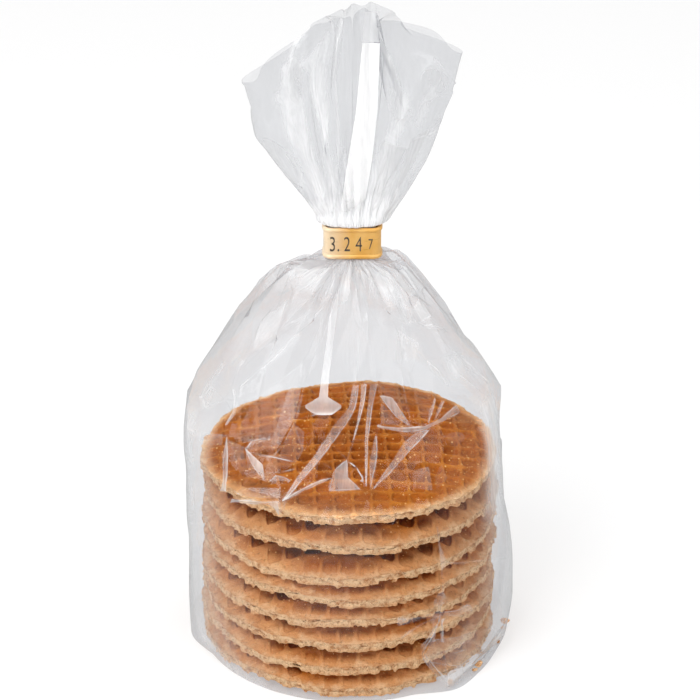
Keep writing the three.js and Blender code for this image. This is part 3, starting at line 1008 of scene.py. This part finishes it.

# Folded strips, where the film lies double and a painted sheen stands in for light it mirrors: (x,
# y, width) stops, push, sheen and whitening.
SEEN_STRIPS = [
    ([(228, 437, 1), (226.5, 460, 5), (226.5, 472, 5), (225, 493, 1)], 0.3, 0.75, 0.5),
    ([(231, 500, 1), (245, 502, 3), (262, 503.5, 4), (282, 502.5, 1)], 0.3, 0.7, 0.4),
    ([(284, 501.5, 1), (303, 491, 3), (320, 482.7, 3), (333, 478, 1)], 0.3, 0.7, 0.5),
    ([(357, 384, 6), (354, 409, 7), (341, 426, 9), (330, 442, 8), (318, 459, 7), (303, 477, 6),
      (286, 500, 2)], 0.4, 0.42, 0.4),
    ([(272, 481.5, 1), (278, 478, 6), (288, 479, 4), (292, 482, 1)], 0.2, 0.45, 0.2),
    ([(248, 449, 1), (254, 442, 3), (264, 440, 3), (271, 439.5, 1)], 0.2, 0.35, 0.3),
    ([(226.5, 425, 1), (235, 413, 3), (237, 400, 3), (234, 388, 1)], 0.3, 0.5, 0.4),
    ([(378.5, 426.5, 1), (398, 429.5, 3.5), (412, 430, 4), (426, 428, 3), (443, 420, 4),
      (459, 409, 8)], 0.4, 0.6, 0.6),
    ([(429, 430, 2), (420, 436, 8), (409, 446, 9), (396, 464, 6), (375.5, 488.5, 1)],
     0.35, 0.42, 0.35),
    ([(377.5, 435, 1), (376.5, 450, 5), (375, 462, 6), (372, 488, 1)], 0.25, 0.4, 0.25),
    ([(365, 384, 5), (364, 400, 4), (360, 420, 2), (355, 440, 1)], 0.25, 0.4, 0.3),
    ([(375, 384, 6), (371, 410, 4), (368, 440, 3), (368, 486, 1)], 0.25, 0.35, 0.3),
    ([(435.5, 400, 2), (432, 412, 3), (429.5, 423, 1)], 0.3, 0.5, 0.4),
    ([(444, 401, 2), (439, 412, 2), (436, 420, 1)], 0.3, 0.35, 0.3),
    ([(306, 266, 1), (296, 282, 4), (276, 316, 1)], 0.5, 0.15, 0.1),
    ([(377, 264, 1), (392, 292, 4), (404, 322, 1)], 0.5, 0.15, 0.1),
    ([(324, 310, 1), (300, 332, 2.5), (262, 368, 3), (240, 387, 1)], 0.4, 0.3, 0.4),
    ([(409, 321, 1), (428, 327, 3), (446, 331, 1)], 0.4, 0.4, 0.4),
    ([(453, 350, 1), (468, 366, 4), (486, 384, 1)], 0.4, 0.4, 0.4),
    ([(427, 361, 1), (437, 372, 4), (449, 387, 1)], 0.3, 0.35, 0.3),
    ([(203, 398, 1), (213, 380, 5), (226, 362, 1)], 0.4, 0.5, 0.5),
    ([(262, 282, 1), (285, 268, 3), (308, 262, 1)], 0.4, 0.3, 0.3),
    ([(441, 600, 1), (436, 622, 5), (433, 640, 1)], 0.4, 0.25, 0.3),
    ([(424, 655, 1), (436, 672, 4), (452, 688, 1)], 0.4, 0.25, 0.3),
    ([(441, 618, 1), (442, 632, 2.5), (442, 642, 1)], 0.3, 0.5, 0.5),
    ([(437, 626, 1), (427, 642, 3), (422, 654, 1)], 0.4, 0.3, 0.4),
    ([(400, 624, 1), (436, 614, 4), (472, 611, 1)], 0.3, 0.22, 0.2),
    ([(447, 676, 1), (465, 664, 4), (485, 651, 5), (500, 637, 4), (508, 620, 1)], 0.4, 0.4, 0.35),
]
for stops, push, sheen, white in SEEN_STRIPS:
    creases.strip(stops, push, sheen, white)

# Flat facets between creases, (x, y, push) corners, with a painted sheen that stands in for the
# studio boxes they catch.
SEEN_FACETS = [
    ([(246.3, 448, 0.3), (264.4, 464.5, 0.1), (266.7, 482, 0.3), (253.7, 466, 0.0)], 0.6, 0.4),
    ([(393.5, 397.5, 0.1), (380, 395.5, 0.3), (398, 418, 0.1), (412.5, 427, 0.3)], 0.62, 0.35),
    ([(349, 459, 0.3), (349.5, 477, 0.0), (362.5, 489, 0.3), (331, 491, 0.1), (336, 470, 0.2)],
     0.7, 0.3),
    ([(297, 425, 0.2), (305.5, 432, 0.0), (304.5, 450, 0.2), (299, 461, 0.1), (281, 456, 0.2)],
     0.15, 0.1),
    ([(290, 388, 0.0), (303, 386, 0.1), (296, 419, 0.2), (279, 449, 0.1), (270, 450, 0.0)],
     0.27, 0.0),
    ([(224, 434, 0.2), (202, 433, 0.1), (200, 445, 0.1), (223, 445, 0.0)], 0.3, 0.05),
    ([(282, 499, 0.1), (232, 497, 0.1), (243, 488, 0.0), (283, 488, 0.1)], 0.3, 0.0),
    ([(230, 440, 0.1), (244, 446, 0.0), (250, 477, 0.1), (241, 474, 0.0)], 0.16, 0.0),
    ([(430, 466, 0.2), (434, 490, 0.2), (416, 487, 0.0), (414, 471, 0.1)], 0.22, 0.05),
    ([(443, 464, 0.1), (449, 478, 0.0), (438, 490, 0.1), (436, 476, 0.0)], 0.12, 0.0),
    ([(382, 424, 0.1), (382, 402, 0.1), (397, 419, 0.0), (408, 426, 0.1)], 0.18, 0.05),
    ([(470, 436, 0.1), (458, 430, 0.0), (444, 436, 0.1), (456, 448, 0.0)], 0.14, 0.0),
    ([(385, 309, 0.4), (409, 326, 0.6), (431, 316, 0.2), (402, 298, 0.4)], 0.14, 0.1),
    ([(446, 691, 0.2), (447, 672, 0.4), (459, 669, 0.2), (461, 690, 0)], 0.85, 0.5),
    ([(424, 661, 0.3), (431, 640, 0.3), (500, 622, 0), (470, 668, 0)], 0.26, 0.15),
    ([(424, 661, 0.3), (436, 650, 0.2), (446, 660, 0), (448, 686, 0.2)], 0.25, 0.1),
    ([(323, 25, 0.2), (343, 20, 0.2), (339, 70, 0), (328, 112, 0)], 0.3, 0.0),
    ([(289, 55, 0.2), (302, 52, 0), (303, 108, 0), (291, 95, 0.1)], 0.4, 0.0),
    ([(404, 150, 0.3), (427, 120, 0.2), (409, 164, 0), (389, 204, 0)], 0.5, 0.1),
    ([(392, 26, 0.2), (401, 26, 0), (399, 118, 0), (388, 118, 0.1)], 0.45, 0.0),
    ([(431, 54, 0.2), (450, 78, 0.2), (419, 98, 0), (415, 72, 0)], 0.3, 0.1),
    ([(378, 138, 0.1), (403, 146, 0.3), (391, 184, 0), (376, 194, 0)], 0.4, 0.0),
    ([(259, 141, 0.1), (272, 131, 0.3), (297, 152, 0.1), (306, 184, 0), (291, 180, 0)], 0.35, 0.1),
    ([(404, 262, 0.3), (424, 288, 0.4), (410, 300, 0), (392, 280, 0)], 0.5, 0.1),
    ([(268, 272, 0.3), (290, 264, 0.3), (280, 288, 0), (262, 300, 0)], 0.5, 0.1),
    ([(398, 330, 0.2), (420, 344, 0.3), (412, 372, 0), (396, 362, 0)], 0.35, 0.1),
    ([(262, 322, 0.2), (290, 302, 0.3), (276, 340, 0), (252, 352, 0)], 0.35, 0.05),
    ([(203, 396, 0.1), (210, 382, 0.3), (226, 399, 0), (206, 408, 0)], 0.5, 0.2),
    ([(419, 300, 0.2), (432, 318, 0.4), (410, 324, 0), (412, 312, 0)], 0.6, 0.2),
    ([(440, 358, 0.3), (462, 354, 0.1), (480, 386, 0), (452, 388, 0)], 0.3, 0.1),
]
for corners, sheen, white in SEEN_FACETS:
    creases.facet(corners, sheen, white)

# Pleats of the fan's front, where the film lies in several layers: (x, y, width) stops.
SEEN_PLEATS = [
    ([(325, 22, 8), (315, 56, 12), (318, 88, 11), (325, 129, 9), (332, 186, 8)], 0.5),
    ([(299, 34, 4), (289, 68, 5), (293, 108, 13), (311, 152, 13), (325, 203, 12)], 0.5),
    ([(304, 51, 5), (308, 88, 9), (325, 135, 8)], 0.35),
    ([(335, 37, 5), (335, 88, 5), (342, 152, 7)], 0.3),
    ([(394, 27, 5), (397, 68, 8), (401, 115, 11), (384, 155, 12), (378, 205, 14)], 0.4),
    ([(423, 88, 5), (413, 118, 7)], 0.3),
    ([(372, 190, 24), (360, 212, 34)], 0.3),
    ([(438, 118, 8), (430, 128, 8)], 0.3),
]

# Soft hazes painted where the film curves away and over the front rims, for light it mirrors there:
# (x, y) stops, how far the haze spreads to each side in millimetres, and how milky it is.
SEEN_PAINTED_HAZES = [
    ([(190, 425), (189, 520), (191, 600), (200, 636)], 8.0, 0.36),
    ([(222, 520), (226, 600), (244, 664)], 13.0, 0.06),
    ([(206, 646), (232, 668), (262, 682)], 5.0, 0.3),
    ([(494, 405), (497, 460), (499, 505)], 8.0, 0.55),
    ([(507, 520), (509, 590), (498, 640)], 7.0, 0.3),
    ([(330, 545), (325, 600)], 26.0, 0.04),
    ([(204, 425), (202, 520), (205, 600), (216, 640)], 9.0, 0.16),
    ([(487, 410), (491, 505)], 6.0, 0.4),
    ([(492, 520), (492, 600)], 8.0, 0.1),
    ([(470, 630), (462, 660)], 9.0, 0.05),
    ([(300, 272), (318, 285), (345, 290)], 9.0, 0.2),
    ([(372, 285), (394, 290), (405, 300)], 8.0, 0.2),
    ([(455, 372), (470, 360), (482, 380)], 6.0, 0.2),
    ([(250, 330), (238, 352)], 8.0, 0.12),
]
ALL_ROUND = (0.01, 0.99)
SAME_POINT = 1e-4
LOOSE_POINTS = [  # between which stations, how far apart, and pushed how far: millimetres
    ((-0.95, -0.05), 16.0, (-0.3, 0.0)), ((0.05, 0.98), 13.0, (0.0, 0.35)),
    ((1.02, 1.97), 9.5, (-0.5, 0.8)), ((3.05, 3.97), 12.0, (-0.6, 0.6)),
]
for stations, spacing, push in LOOSE_POINTS:
    creases.scatter(chance, ALL_ROUND, stations, spacing, push)

flat_points, flat_edges, flat_faces, from_points, from_edges, _ = delaunay_2d_cdt(
    [Vector(point) for point in creases.points], creases.edges, [], 0, SAME_POINT)

# Where two creases cross there is a new point, with the push of the points that it joins.
pushes = {index: creases.pushes[sources[0]]
          for index, sources in enumerate(from_points) if sources}
neighbours = {}
for first, second in flat_edges:
    neighbours.setdefault(first, []).append(second)
    neighbours.setdefault(second, []).append(first)

# How far the film bellies out from the solid bag: middle turn and its spread, arc, and push.
PUFFS = [(0.29, 0.07, 131, 3.6), (0.45, 0.05, 128, 1.0), (0.7, 0.05, 136, 2.0),
         (0.82, 0.06, 138, 2.6), (0.1, 0.06, 133, 1.6),
         (0.24, 0.05, 82, 1.6), (0.24, 0.05, 62, 1.8), (0.24, 0.05, 44, 1.2),
         (0.76, 0.05, 90, 1.6), (0.76, 0.05, 56, 2.4), (0.76, 0.05, 36, 1.2),
         (0.25, 0.08, 168, 1.2), (0.75, 0.08, 168, 0.9),
         (0.33, 0.03, 160, 0.9), (0.67, 0.03, 160, 0.9),
         (0.27, 0.08, 147, -2.2), (0.74, 0.08, 147, -2.6),
         (0.24, 0.05, 222, 4.2), (0.24, 0.05, 204, 3.2), (0.24, 0.05, 186, 2.4),
         (0.76, 0.04, 222, 4.0), (0.75, 0.06, 205, 3.0), (0.76, 0.06, 188, 3.2)]
PUFF_LENGTH = 9
CLIP_ARCS = (148, 159.5)  # the clip draws the film in, so nothing bellies there
CLIP_LIP = (160.2, 2.6, 2.8)  # where the film springs out over the clip: arc, push, spread


def puff(round_mm, along_mm):
    """How far the film bellies out at a flat place."""
    if CLIP_ARCS[0] < along_mm < CLIP_ARCS[1]:
        return 0.0
    turn = round_mm / FILM_ROUND
    total = CLIP_LIP[1] * math.exp(-((along_mm - CLIP_LIP[0]) / CLIP_LIP[2]) ** 2)
    for middle, spread, arc_middle, push in PUFFS:
        total += push * math.exp(-((turn - middle) / spread) ** 2
                                 - ((along_mm - arc_middle) / PUFF_LENGTH) ** 2)
    return total


corners = []
for index, point in enumerate(flat_points):
    push = pushes.get(index)
    if push is None:
        near = [pushes[n] for n in neighbours[index] if n in pushes]
        push = sum(near) / max(1, len(near))
    station = float(np.interp(point.y, ARCS, STATIONS))
    turn = min(1.0, max(0.0, point.x / FILM_ROUND))
    corners.append(film_place(turn, station, push + puff(point.x, point.y)))


def flat_area(face):
    a, b, c = (flat_points[index] for index in face)
    return abs((b - a).cross(c - a)) / 2


SLIVER = 1e-3
film_mesh = bpy.data.meshes.new("film")
film_mesh.from_pydata(
    corners, [], [tuple(face) for face in flat_faces if flat_area(face) > SLIVER])
film_mesh.update()
film = bpy.data.objects.new("film", film_mesh)
bpy.context.collection.objects.link(film)

# The marked creases, and about half of the other edges of the shoulder and the fan: crisp film
# is all flat facets.
LOOSE_CREASES = 0.55
LOOSE_ARCS = (68, 155)
FILM_LEVELS = 2
marked = {}
for edge, sources in zip(flat_edges, from_edges):
    values = [creases.marks[source] for source in sources if source < len(creases.marks)]
    lower_end = min(flat_points[index].y for index in edge)
    if values:
        marked[tuple(sorted(edge))] = max(values)
    elif LOOSE_ARCS[0] < lower_end < LOOSE_ARCS[1] and chance.random() < LOOSE_CREASES:
        marked[tuple(sorted(edge))] = (chance.uniform(0.5, 1.0), max(0, chance.uniform(-0.1, 0.1)))
film_mesh.attributes.new("crease_edge", "FLOAT", "EDGE").data.foreach_set(
    "value", np.array([marked.get(tuple(sorted(edge.vertices)), (0.0, 0.0))[0]
                       for edge in film_mesh.edges], np.float32))
mark(film, "round", [point.x for point in flat_points])
mark(film, "along", [point.y for point in flat_points])
apply_modifier(film, "SUBSURF", levels=FILM_LEVELS, render_levels=FILM_LEVELS)


def read(piece, name):
    values = np.empty(len(piece.data.vertices), np.float32)
    piece.data.attributes[name].data.foreach_get("value", values)
    return values.astype(float)


# Beside the stack the film lies against the rims and never inside them.
STACK_FILM_RADIUS = 48.6 * MM
BASE_FOLD = -0.2  # millimetres along the film, just under the fold round the base
rows = places(film)
out_x, out_y = rows[:, 0] - STACK_X, rows[:, 1] - STACK_Y
radius = np.hypot(out_x, out_y)
inside = ((read(film, "along") > BASE_FOLD) & (rows[:, 2] < STACK_TOP + MM)
          & (radius < STACK_FILM_RADIUS))
rows[inside, 0] = STACK_X + out_x[inside] / radius[inside] * STACK_FILM_RADIUS
rows[inside, 1] = STACK_Y + out_y[inside] / radius[inside] * STACK_FILM_RADIUS
move_to(film, rows)

# For each place, the distance to the nearest whitened crease, and how whitened that one is: the
# whitening is partly a painted highlight.
REACH = 2.5
round_mm, along_mm = read(film, "round"), read(film, "along")
order = np.argsort(round_mm)
sorted_round = round_mm[order]
fold_gap = np.full(len(round_mm), REACH)
fold_white_and_glint = np.zeros(len(round_mm))


def gap_to_side(start, end, chosen):
    """The distance from chosen places of the film to a straight side, and the share along it."""
    (ax, ay), (bx, by) = start, end
    x, y = round_mm[chosen], along_mm[chosen]
    length = max((bx - ax) ** 2 + (by - ay) ** 2, 1e-9)
    share = np.clip(((x - ax) * (bx - ax) + (y - ay) * (by - ay)) / length, 0, 1)
    return np.hypot(x - ax - share * (bx - ax), y - ay - share * (by - ay)), share


for (first, second), (_, white) in marked.items():
    if white <= 0:
        continue
    ends = flat_points[first], flat_points[second]
    (left, right), (low, high) = (sorted(part) for part in zip(*ends))
    near = order[np.searchsorted(sorted_round, left - REACH):
                 np.searchsorted(sorted_round, right + REACH)]
    near = near[(along_mm[near] > low - REACH) & (along_mm[near] < high + REACH)]
    gap = gap_to_side(*ends, near)[0]
    closer = gap < fold_gap[near]
    fold_gap[near[closer]] = gap[closer]
    fold_white_and_glint[near[closer]] = white
mark(film, "fold_gap", fold_gap)
mark(film, "fold_white_and_glint", fold_white_and_glint)
# The film is cloudy where it is bunched: all through the clip, and along the fan's pleats.
BUNCHED = [(0, 0.0), (105, 0.0), (132, 0.08), (144, 0.3), (149, 1.0), (162, 1.0), (166, 0.9),
           (171, 0.42), (185, 0.16), (225, 0.08)]  # millimetres along the film, and how cloudy
cloud = np.interp(along_mm, *zip(*BUNCHED))


def gap_to(line):
    """The distance from each place of the film to a line of flat points, and the share along."""
    nearest, shares = np.full(len(round_mm), math.inf), np.zeros(len(round_mm))
    for number, ends in enumerate(zip(line, line[1:])):
        gap, share = gap_to_side(*ends, slice(None))
        closer = gap < nearest
        nearest[closer] = gap[closer]
        shares[closer] = number + share[closer]
    return nearest, shares


def seen_line(pixels):
    """Flat points of the film from pixels."""
    addresses = [seen_address(pixel) for pixel in pixels]
    return [(turn * FILM_ROUND, arc(station)) for turn, station in addresses]


for pixels, half_width, strength in SEEN_PAINTED_HAZES:
    gap = gap_to(seen_line(pixels))[0]
    cloud += strength * np.clip(1 - (gap / half_width) ** 2, 0, 1) ** 2
PIXELS_PER_MM = FOCAL_PIXELS / CAMERA_DISTANCE * MM
PLEAT_CLOUD = 0.8
stretch = np.interp(along_mm, [160, 180, 225], [3.2, 2.6, 2.2])  # the pleats' clouds are wider
for stops, strength in SEEN_PLEATS:
    gap, share = gap_to(seen_line([stop[:2] for stop in stops]))
    half_width = np.interp(share, range(len(stops)), [stop[2] / 2 / PIXELS_PER_MM
                                                      for stop in stops])
    cloud += PLEAT_CLOUD * strength * np.clip(1 - (gap / half_width / stretch) ** 2, 0, 1)
mark(film, "cloud", np.clip(cloud, 0, 1))

# Painted sheen on strips and facets, partly where the film lies double and partly standing in for
# the studio boxes it mirrors, brightest along one side.
SHEEN_LOSS = 0.6  # of its brightness, across a strip or facet
SAME_PLACE = 0.02 * MM
face_round = np.array([round_mm[list(face.vertices)].mean() for face in film.data.polygons])
face_along = np.array([along_mm[list(face.vertices)].mean() for face in film.data.polygons])
sheen = np.zeros(len(film.data.loops))
for outline, bright, strength in creases.sheens:
    inside = np.zeros(len(face_round), bool)
    for (ax, ay), (bx, by) in zip(outline, outline[1:] + outline[:1]):
        if ay == by:
            continue
        crosses = (ay > face_along) != (by > face_along)
        inside ^= crosses & (face_round < (bx - ax) * (face_along - ay) / (by - ay) + ax)
    held = [film.data.polygons[number] for number in np.nonzero(inside)[0]]
    if not held:
        continue
    gap = gap_to(bright)[0]
    widest = max(gap[vertex] for face in held for vertex in face.vertices)
    for face in held:
        for loop, vertex in zip(face.loop_indices, face.vertices):
            shine = strength * (1 - SHEEN_LOSS * gap[vertex] / widest)
            sheen[loop] = max(sheen[loop], shine)
film.data.attributes.new("sheen", "FLOAT", "CORNER").data.foreach_set(
    "value", sheen.astype(np.float32))
choose(film)
edit()
bpy.ops.mesh.remove_doubles(threshold=SAME_PLACE)
close_edit()
smooth(film, degrees=9)

FILM_TINT = (0.852, 0.856, 0.867, 1)
FILM_MILK = (0.86, 0.865, 0.875, 1)
BUNCH_MILK = (0.84, 0.844, 0.855, 1)


def clear_film():
    made, nodes = new_finish("clear_film")
    sheen = nodes.mark("sheen")
    along_part = nodes.mark("along")
    # White lines along the sharp creases, broken here and there: partly the film's own whitening,
    # partly painted highlights.
    line = nodes.graded(nodes.mark("fold_gap"), 0.0, 0.36, 0.6, 0.0)
    line = nodes.math("MULTIPLY", line, nodes.mark("fold_white_and_glint"))
    broken = nodes.graded(nodes.noise(160.0), 0.35, 0.6, 0.0, 1.6)
    line = nodes.math("MULTIPLY", line, broken)
    # Milky where it is bunched or lies double, and crinkled lengthwise; the milk also carries the
    # painted hazes, painted crease highlights and painted sheen.
    flat = nodes.add("CombineXYZ", {"X": nodes.mark("round"), "Y": along_part}).outputs["Vector"]
    lengthwise = nodes.stretch(flat, (1, 0.16, 1))
    crinkle = nodes.noise(0.42, 3.0, 0.6, lengthwise)
    streaky = nodes.graded(crinkle, 0.3, 0.7, 0.65, 1.3)
    milky = nodes.math("MULTIPLY_ADD", nodes.mark("cloud"), streaky, line, use_clamp=True)
    milky = nodes.math("MULTIPLY_ADD", sheen, 0.26, milky, use_clamp=True)
    drawn_in = nodes.graded(along_part, 60.0, 140.0, 0.1, 0.38)
    height = nodes.math("MULTIPLY_ADD", crinkle, drawn_in, nodes.noise(130.0))
    bump = nodes.bump(0.5, 0.45 * MM, height)
    # A clear or milky body, which mirrors at glancing angles, with a satin gloss where the painted
    # sheen lies on its folds and facets.
    milk_colour = nodes.mix(nodes.graded(along_part, 125.0, 150.0), FILM_MILK, BUNCH_MILK)
    through = nodes.shader("BsdfTransparent", Color=FILM_TINT)
    milk = nodes.shader("BsdfPrincipled", Base_Color=milk_colour, Roughness=0.5, Normal=bump)
    gloss, satin = (
        nodes.shader("BsdfGlossy", Color=(1, 1, 1, 1), Roughness=rough, Normal=bump)
        for rough in (0.07, 0.5))
    facing = nodes.add("LayerWeight", {"Blend": 0.5, "Normal": bump}).outputs["Facing"]
    mirror = nodes.math("MULTIPLY_ADD", nodes.math("POWER", facing, 3.8), 0.9, 0.02)
    surface = nodes.layered(mirror, nodes.layered(milky, through, milk), gloss)
    double = nodes.graded(nodes.noise(0.9, place=lengthwise), 0.3, 0.7, 0.22, 0.44)
    nodes.cover(nodes.layered(nodes.math("MULTIPLY", double, sheen), surface, satin))
    return made


film.data.materials.append(clear_film())
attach(film, "root")
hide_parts("bag")

# ---- The crumbs -------------------------------------------------------------------------------
# A few crumbs have broken off the rims and lie just inside the film, at its right and front. They
# are bits of the same baked waffle, pale where they broke.
CRUMB_CLEAR = 0.4  # millimetres between a crumb and the film
CRUMB_SHAPE = (1.25, 0.8, 0.75)
CRUMB_GRAINS = [(0.45, 0.5), (0.15, 0.16)]  # size of its clouds and their reach, of its own size
CRUMBS = [  # place from the stack's axis, size, turn: millimetres and degrees
    (51.4, -4.2, 3.0, 2.4, 20), (50.6, -5.6, 1.0, 1.6, 70), (49.6, -14.0, 0.9, 1.1, 120),
    (42.4, -28.6, 1.2, 2.2, 45), (40.2, -31.0, 0.9, 1.4, 10), (31.8, -38.6, 1.0, 1.8, 80),
    (12.0, -47.6, 1.0, 1.5, 95),
]
crumb_pieces = []
for x, y, z, size, turn in CRUMBS:
    stack_axis = Vector((STACK_X, STACK_Y, z * MM))
    out = Vector((x, y, 0)).normalized()
    room = reach(stack_axis, out) - (0.6 * size + CRUMB_CLEAR) * MM
    deselect()
    bpy.ops.mesh.primitive_ico_sphere_add(
        subdivisions=4, radius=size / 2 * MM,
        location=stack_axis + out * min(room, math.hypot(x, y) * MM),
        rotation=(0, 0, math.radians(turn)))
    crumb = bpy.context.object
    crumb.scale = CRUMB_SHAPE
    bpy.ops.object.transform_apply(location=True, rotation=True, scale=True)
    for grain, strength in CRUMB_GRAINS:
        roughen(crumb, size * grain * MM, size * strength * MM)
    rows = places(crumb)
    rows[:, 2] += max(0.0, CRUMB_CLEAR * MM - rows[:, 2].min())
    move_to(crumb, rows)
    crumb_pieces.append(crumb)
crumbs = joined(crumb_pieces, "crumbs")
rows = places(crumbs)
mark(crumbs, "cut_height", np.clip((rows[:, 2] / MM + 1) / 5, 0.35, 0.85))  # partly crust
crumbs.data.materials.append(CUT_CRUMB)
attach(crumbs, "root")

# ---- The seam strips --------------------------------------------------------------------------
# The bag is welded along a strip of white film. It shows in the fan, where its end is cut square,
# and again below the clip, down to a folded end over the topmost biscuit.
STRIP_DEPTH = 0.35 * MM
STRIP_STEP = 1.6  # pixels
STRIP_COLUMNS = 12
STRIPS = [  # name, and rows of (y, left x, right x) pixels and whiteness down the strip
    ("fan_strip", [(43, 362.4, 380, 0.85), (112, 356, 377.5, 0.85), (160, 348, 372, 0.85),
                   (199, 342, 365.6, 0.8), (207, 341, 356, 0.7), (212, 341, 348, 0.6)]),
    ("fan_strip_end", [(12, 365, 379, 0.4), (42, 362.4, 380, 0.4)]),
    ("shoulder_strip", [(264, 333, 340, 0.36), (305, 331, 338, 0.36), (345, 326, 333, 0.34),
                        (381, 321, 328.6, 0.42), (397, 319, 328, 0.46), (405, 305.5, 341, 0.3),
                        (408, 305, 341.5, 0.28), (412, 312, 336, 0.34), (414.7, 317, 332, 0.7)]),
]
film_rows = places(film)
film_tree = BVHTree.FromPolygons([Vector(row) for row in film_rows],
                                 [p.vertices for p in film.data.polygons])


def white_weld():
    made, nodes = new_finish("white_weld")
    streaks = nodes.noise(900.0, place=nodes.stretch(nodes.place, (1, 1, 0.08)))
    thick = nodes.math("MULTIPLY", nodes.ramp(streaks, (0.3, 0.85), (0.7, 1.0)),
                       nodes.mark("weld_share"))
    through = nodes.shader("BsdfTransparent", Color=(0.97, 0.97, 0.98, 1))
    weld = nodes.shader("BsdfPrincipled", Base_Color=(0.99, 0.99, 0.99, 1), Roughness=0.35,
                        Normal=nodes.bump(0.4, 0.1 * MM, streaks))
    nodes.cover(nodes.layered(thick, through, weld))
    return made


WHITE_WELD = white_weld()
for name, edges in STRIPS:
    downs, lefts, rights, whites = zip(*edges)
    top, bottom = downs[0], downs[-1]
    count = max(2, round((bottom - top) / STRIP_STEP))
    deselect()
    bpy.ops.mesh.primitive_grid_add(x_subdivisions=STRIP_COLUMNS, y_subdivisions=count, size=1)
    strip = bpy.context.object
    strip.name = name
    rows = places(strip)
    share = []
    for row in rows:
        y = bottom + (row[1] + 0.5) * (top - bottom)
        left, right = float(np.interp(y, downs, lefts)), float(np.interp(y, downs, rights))
        pixel = (left + (row[0] + 0.5) * (right - left), y)
        row[:] = seen_place(film_tree, pixel) - camera_ray(pixel) * STRIP_DEPTH
        share.append(np.interp(y, downs, whites))
    move_to(strip, rows)
    mark(strip, "weld_share", share)
    strip.data.materials.append(WHITE_WELD)
    smooth(strip, degrees=15)
    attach(strip, "root")

# ---- Floor, lights and sky --------------------------------------------------------------------
# A plain pale floor under soft studio boxes, with gaps between them for the film to pick up.
FLOOR_SIDE = 14
FLOOR_BACK = 3  # how far its middle lies behind the pack
deselect()
bpy.ops.mesh.primitive_plane_add(size=FLOOR_SIDE, location=(0, FLOOR_BACK, 0))
floor = bpy.context.object
floor.name = "floor"
floor.visible_glossy = False
floor_finish, nodes = new_finish("pale_floor")
nodes.cover(nodes.shader(
    "BsdfPrincipled", Base_Color=(0.42, 0.42, 0.42, 1), Roughness=0.9, Specular_IOR_Level=0.1,
    Emission_Color=(1, 1, 1, 1), Emission_Strength=0.55))
floor.data.materials.append(floor_finish)
floor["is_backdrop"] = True

# The sky is pale above, and dim below towards the camera, where the film mirrors the table's edge.
world = bpy.data.worlds.new("studio")
bpy.context.scene.world = world
world.use_nodes = True
sky = Nodes(world.node_tree)
toward = sky.add("SeparateXYZ", {"Vector": sky.add("TexCoord").outputs["Generated"]}).outputs
backward = sky.math("ADD", toward["Y"], sky.math("ABSOLUTE", toward["X"]))
below = sky.ramp(backward, (0.0, 0.04), (0.5, 0.6))
above = sky.ramp(backward, (0.0, 0.12), (0.7, 0.5))
surroundings = sky.mix(sky.graded(toward["Z"], -0.15, 0.05), below, above)
seen = sky.add("LightPath").outputs["Is Camera Ray"]
background = world.node_tree.nodes["Background"]
world.node_tree.links.new(sky.mix(seen, surroundings, (1, 1, 1, 1)), background.inputs["Color"])
background.inputs["Strength"].default_value = 1.0

BOXES = [  # name, azimuth from the front to the right, elevation, distance, sides, radiance
    ("front_left_box", -40, 38, 1.6, (1.0, 1.0), 2.4),
    ("front_right_box", 46, 34, 1.6, (0.6, 1.0), 2.1),
    ("front_strip_box", 4, 60, 1.6, (0.9, 0.3), 3.6),
    ("low_left_box", -46, 14, 1.7, (0.9, 0.4), 5.0),
    ("low_right_box", 24, 11, 1.7, (0.8, 0.4), 2.4),
    ("overhead_box", 0, 84, 1.5, (1.1, 0.5), 2.8),
    ("fill_box", -34, 46, 1.6, (1.0, 0.8), 4.6),
    ("back_left_box", -145, 48, 1.6, (0.5, 0.6), 3.0),
    ("back_right_box", 140, 50, 1.6, (0.5, 0.6), 3.0),
]
AIM_HEIGHT = 0.09
AIM = Vector((STACK_X, STACK_Y, AIM_HEIGHT))
for name, azimuth, elevation, distance, (width, height), radiance in BOXES:
    azimuth, elevation = math.radians(azimuth), math.radians(elevation)
    toward_box = Vector((math.sin(azimuth) * math.cos(elevation),
                         -math.cos(azimuth) * math.cos(elevation), math.sin(elevation)))
    bpy.ops.object.light_add(type="AREA", location=AIM + toward_box * distance,
                             rotation=toward_box.to_track_quat("Z", "Y").to_euler())
    box = bpy.context.object
    box.name = name
    box.data.shape = "RECTANGLE"
    box.data.size = width
    box.data.size_y = height
    box.data.energy = radiance * math.pi * width * height
    box.visible_camera = False
    box.visible_diffuse = name != "low_left_box"  # only the film mirrors it
    box.visible_glossy = name != "fill_box"

scene = bpy.context.scene
scene.view_settings.view_transform = "Standard"
scene.cycles.transparent_max_bounces = 32

low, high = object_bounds()
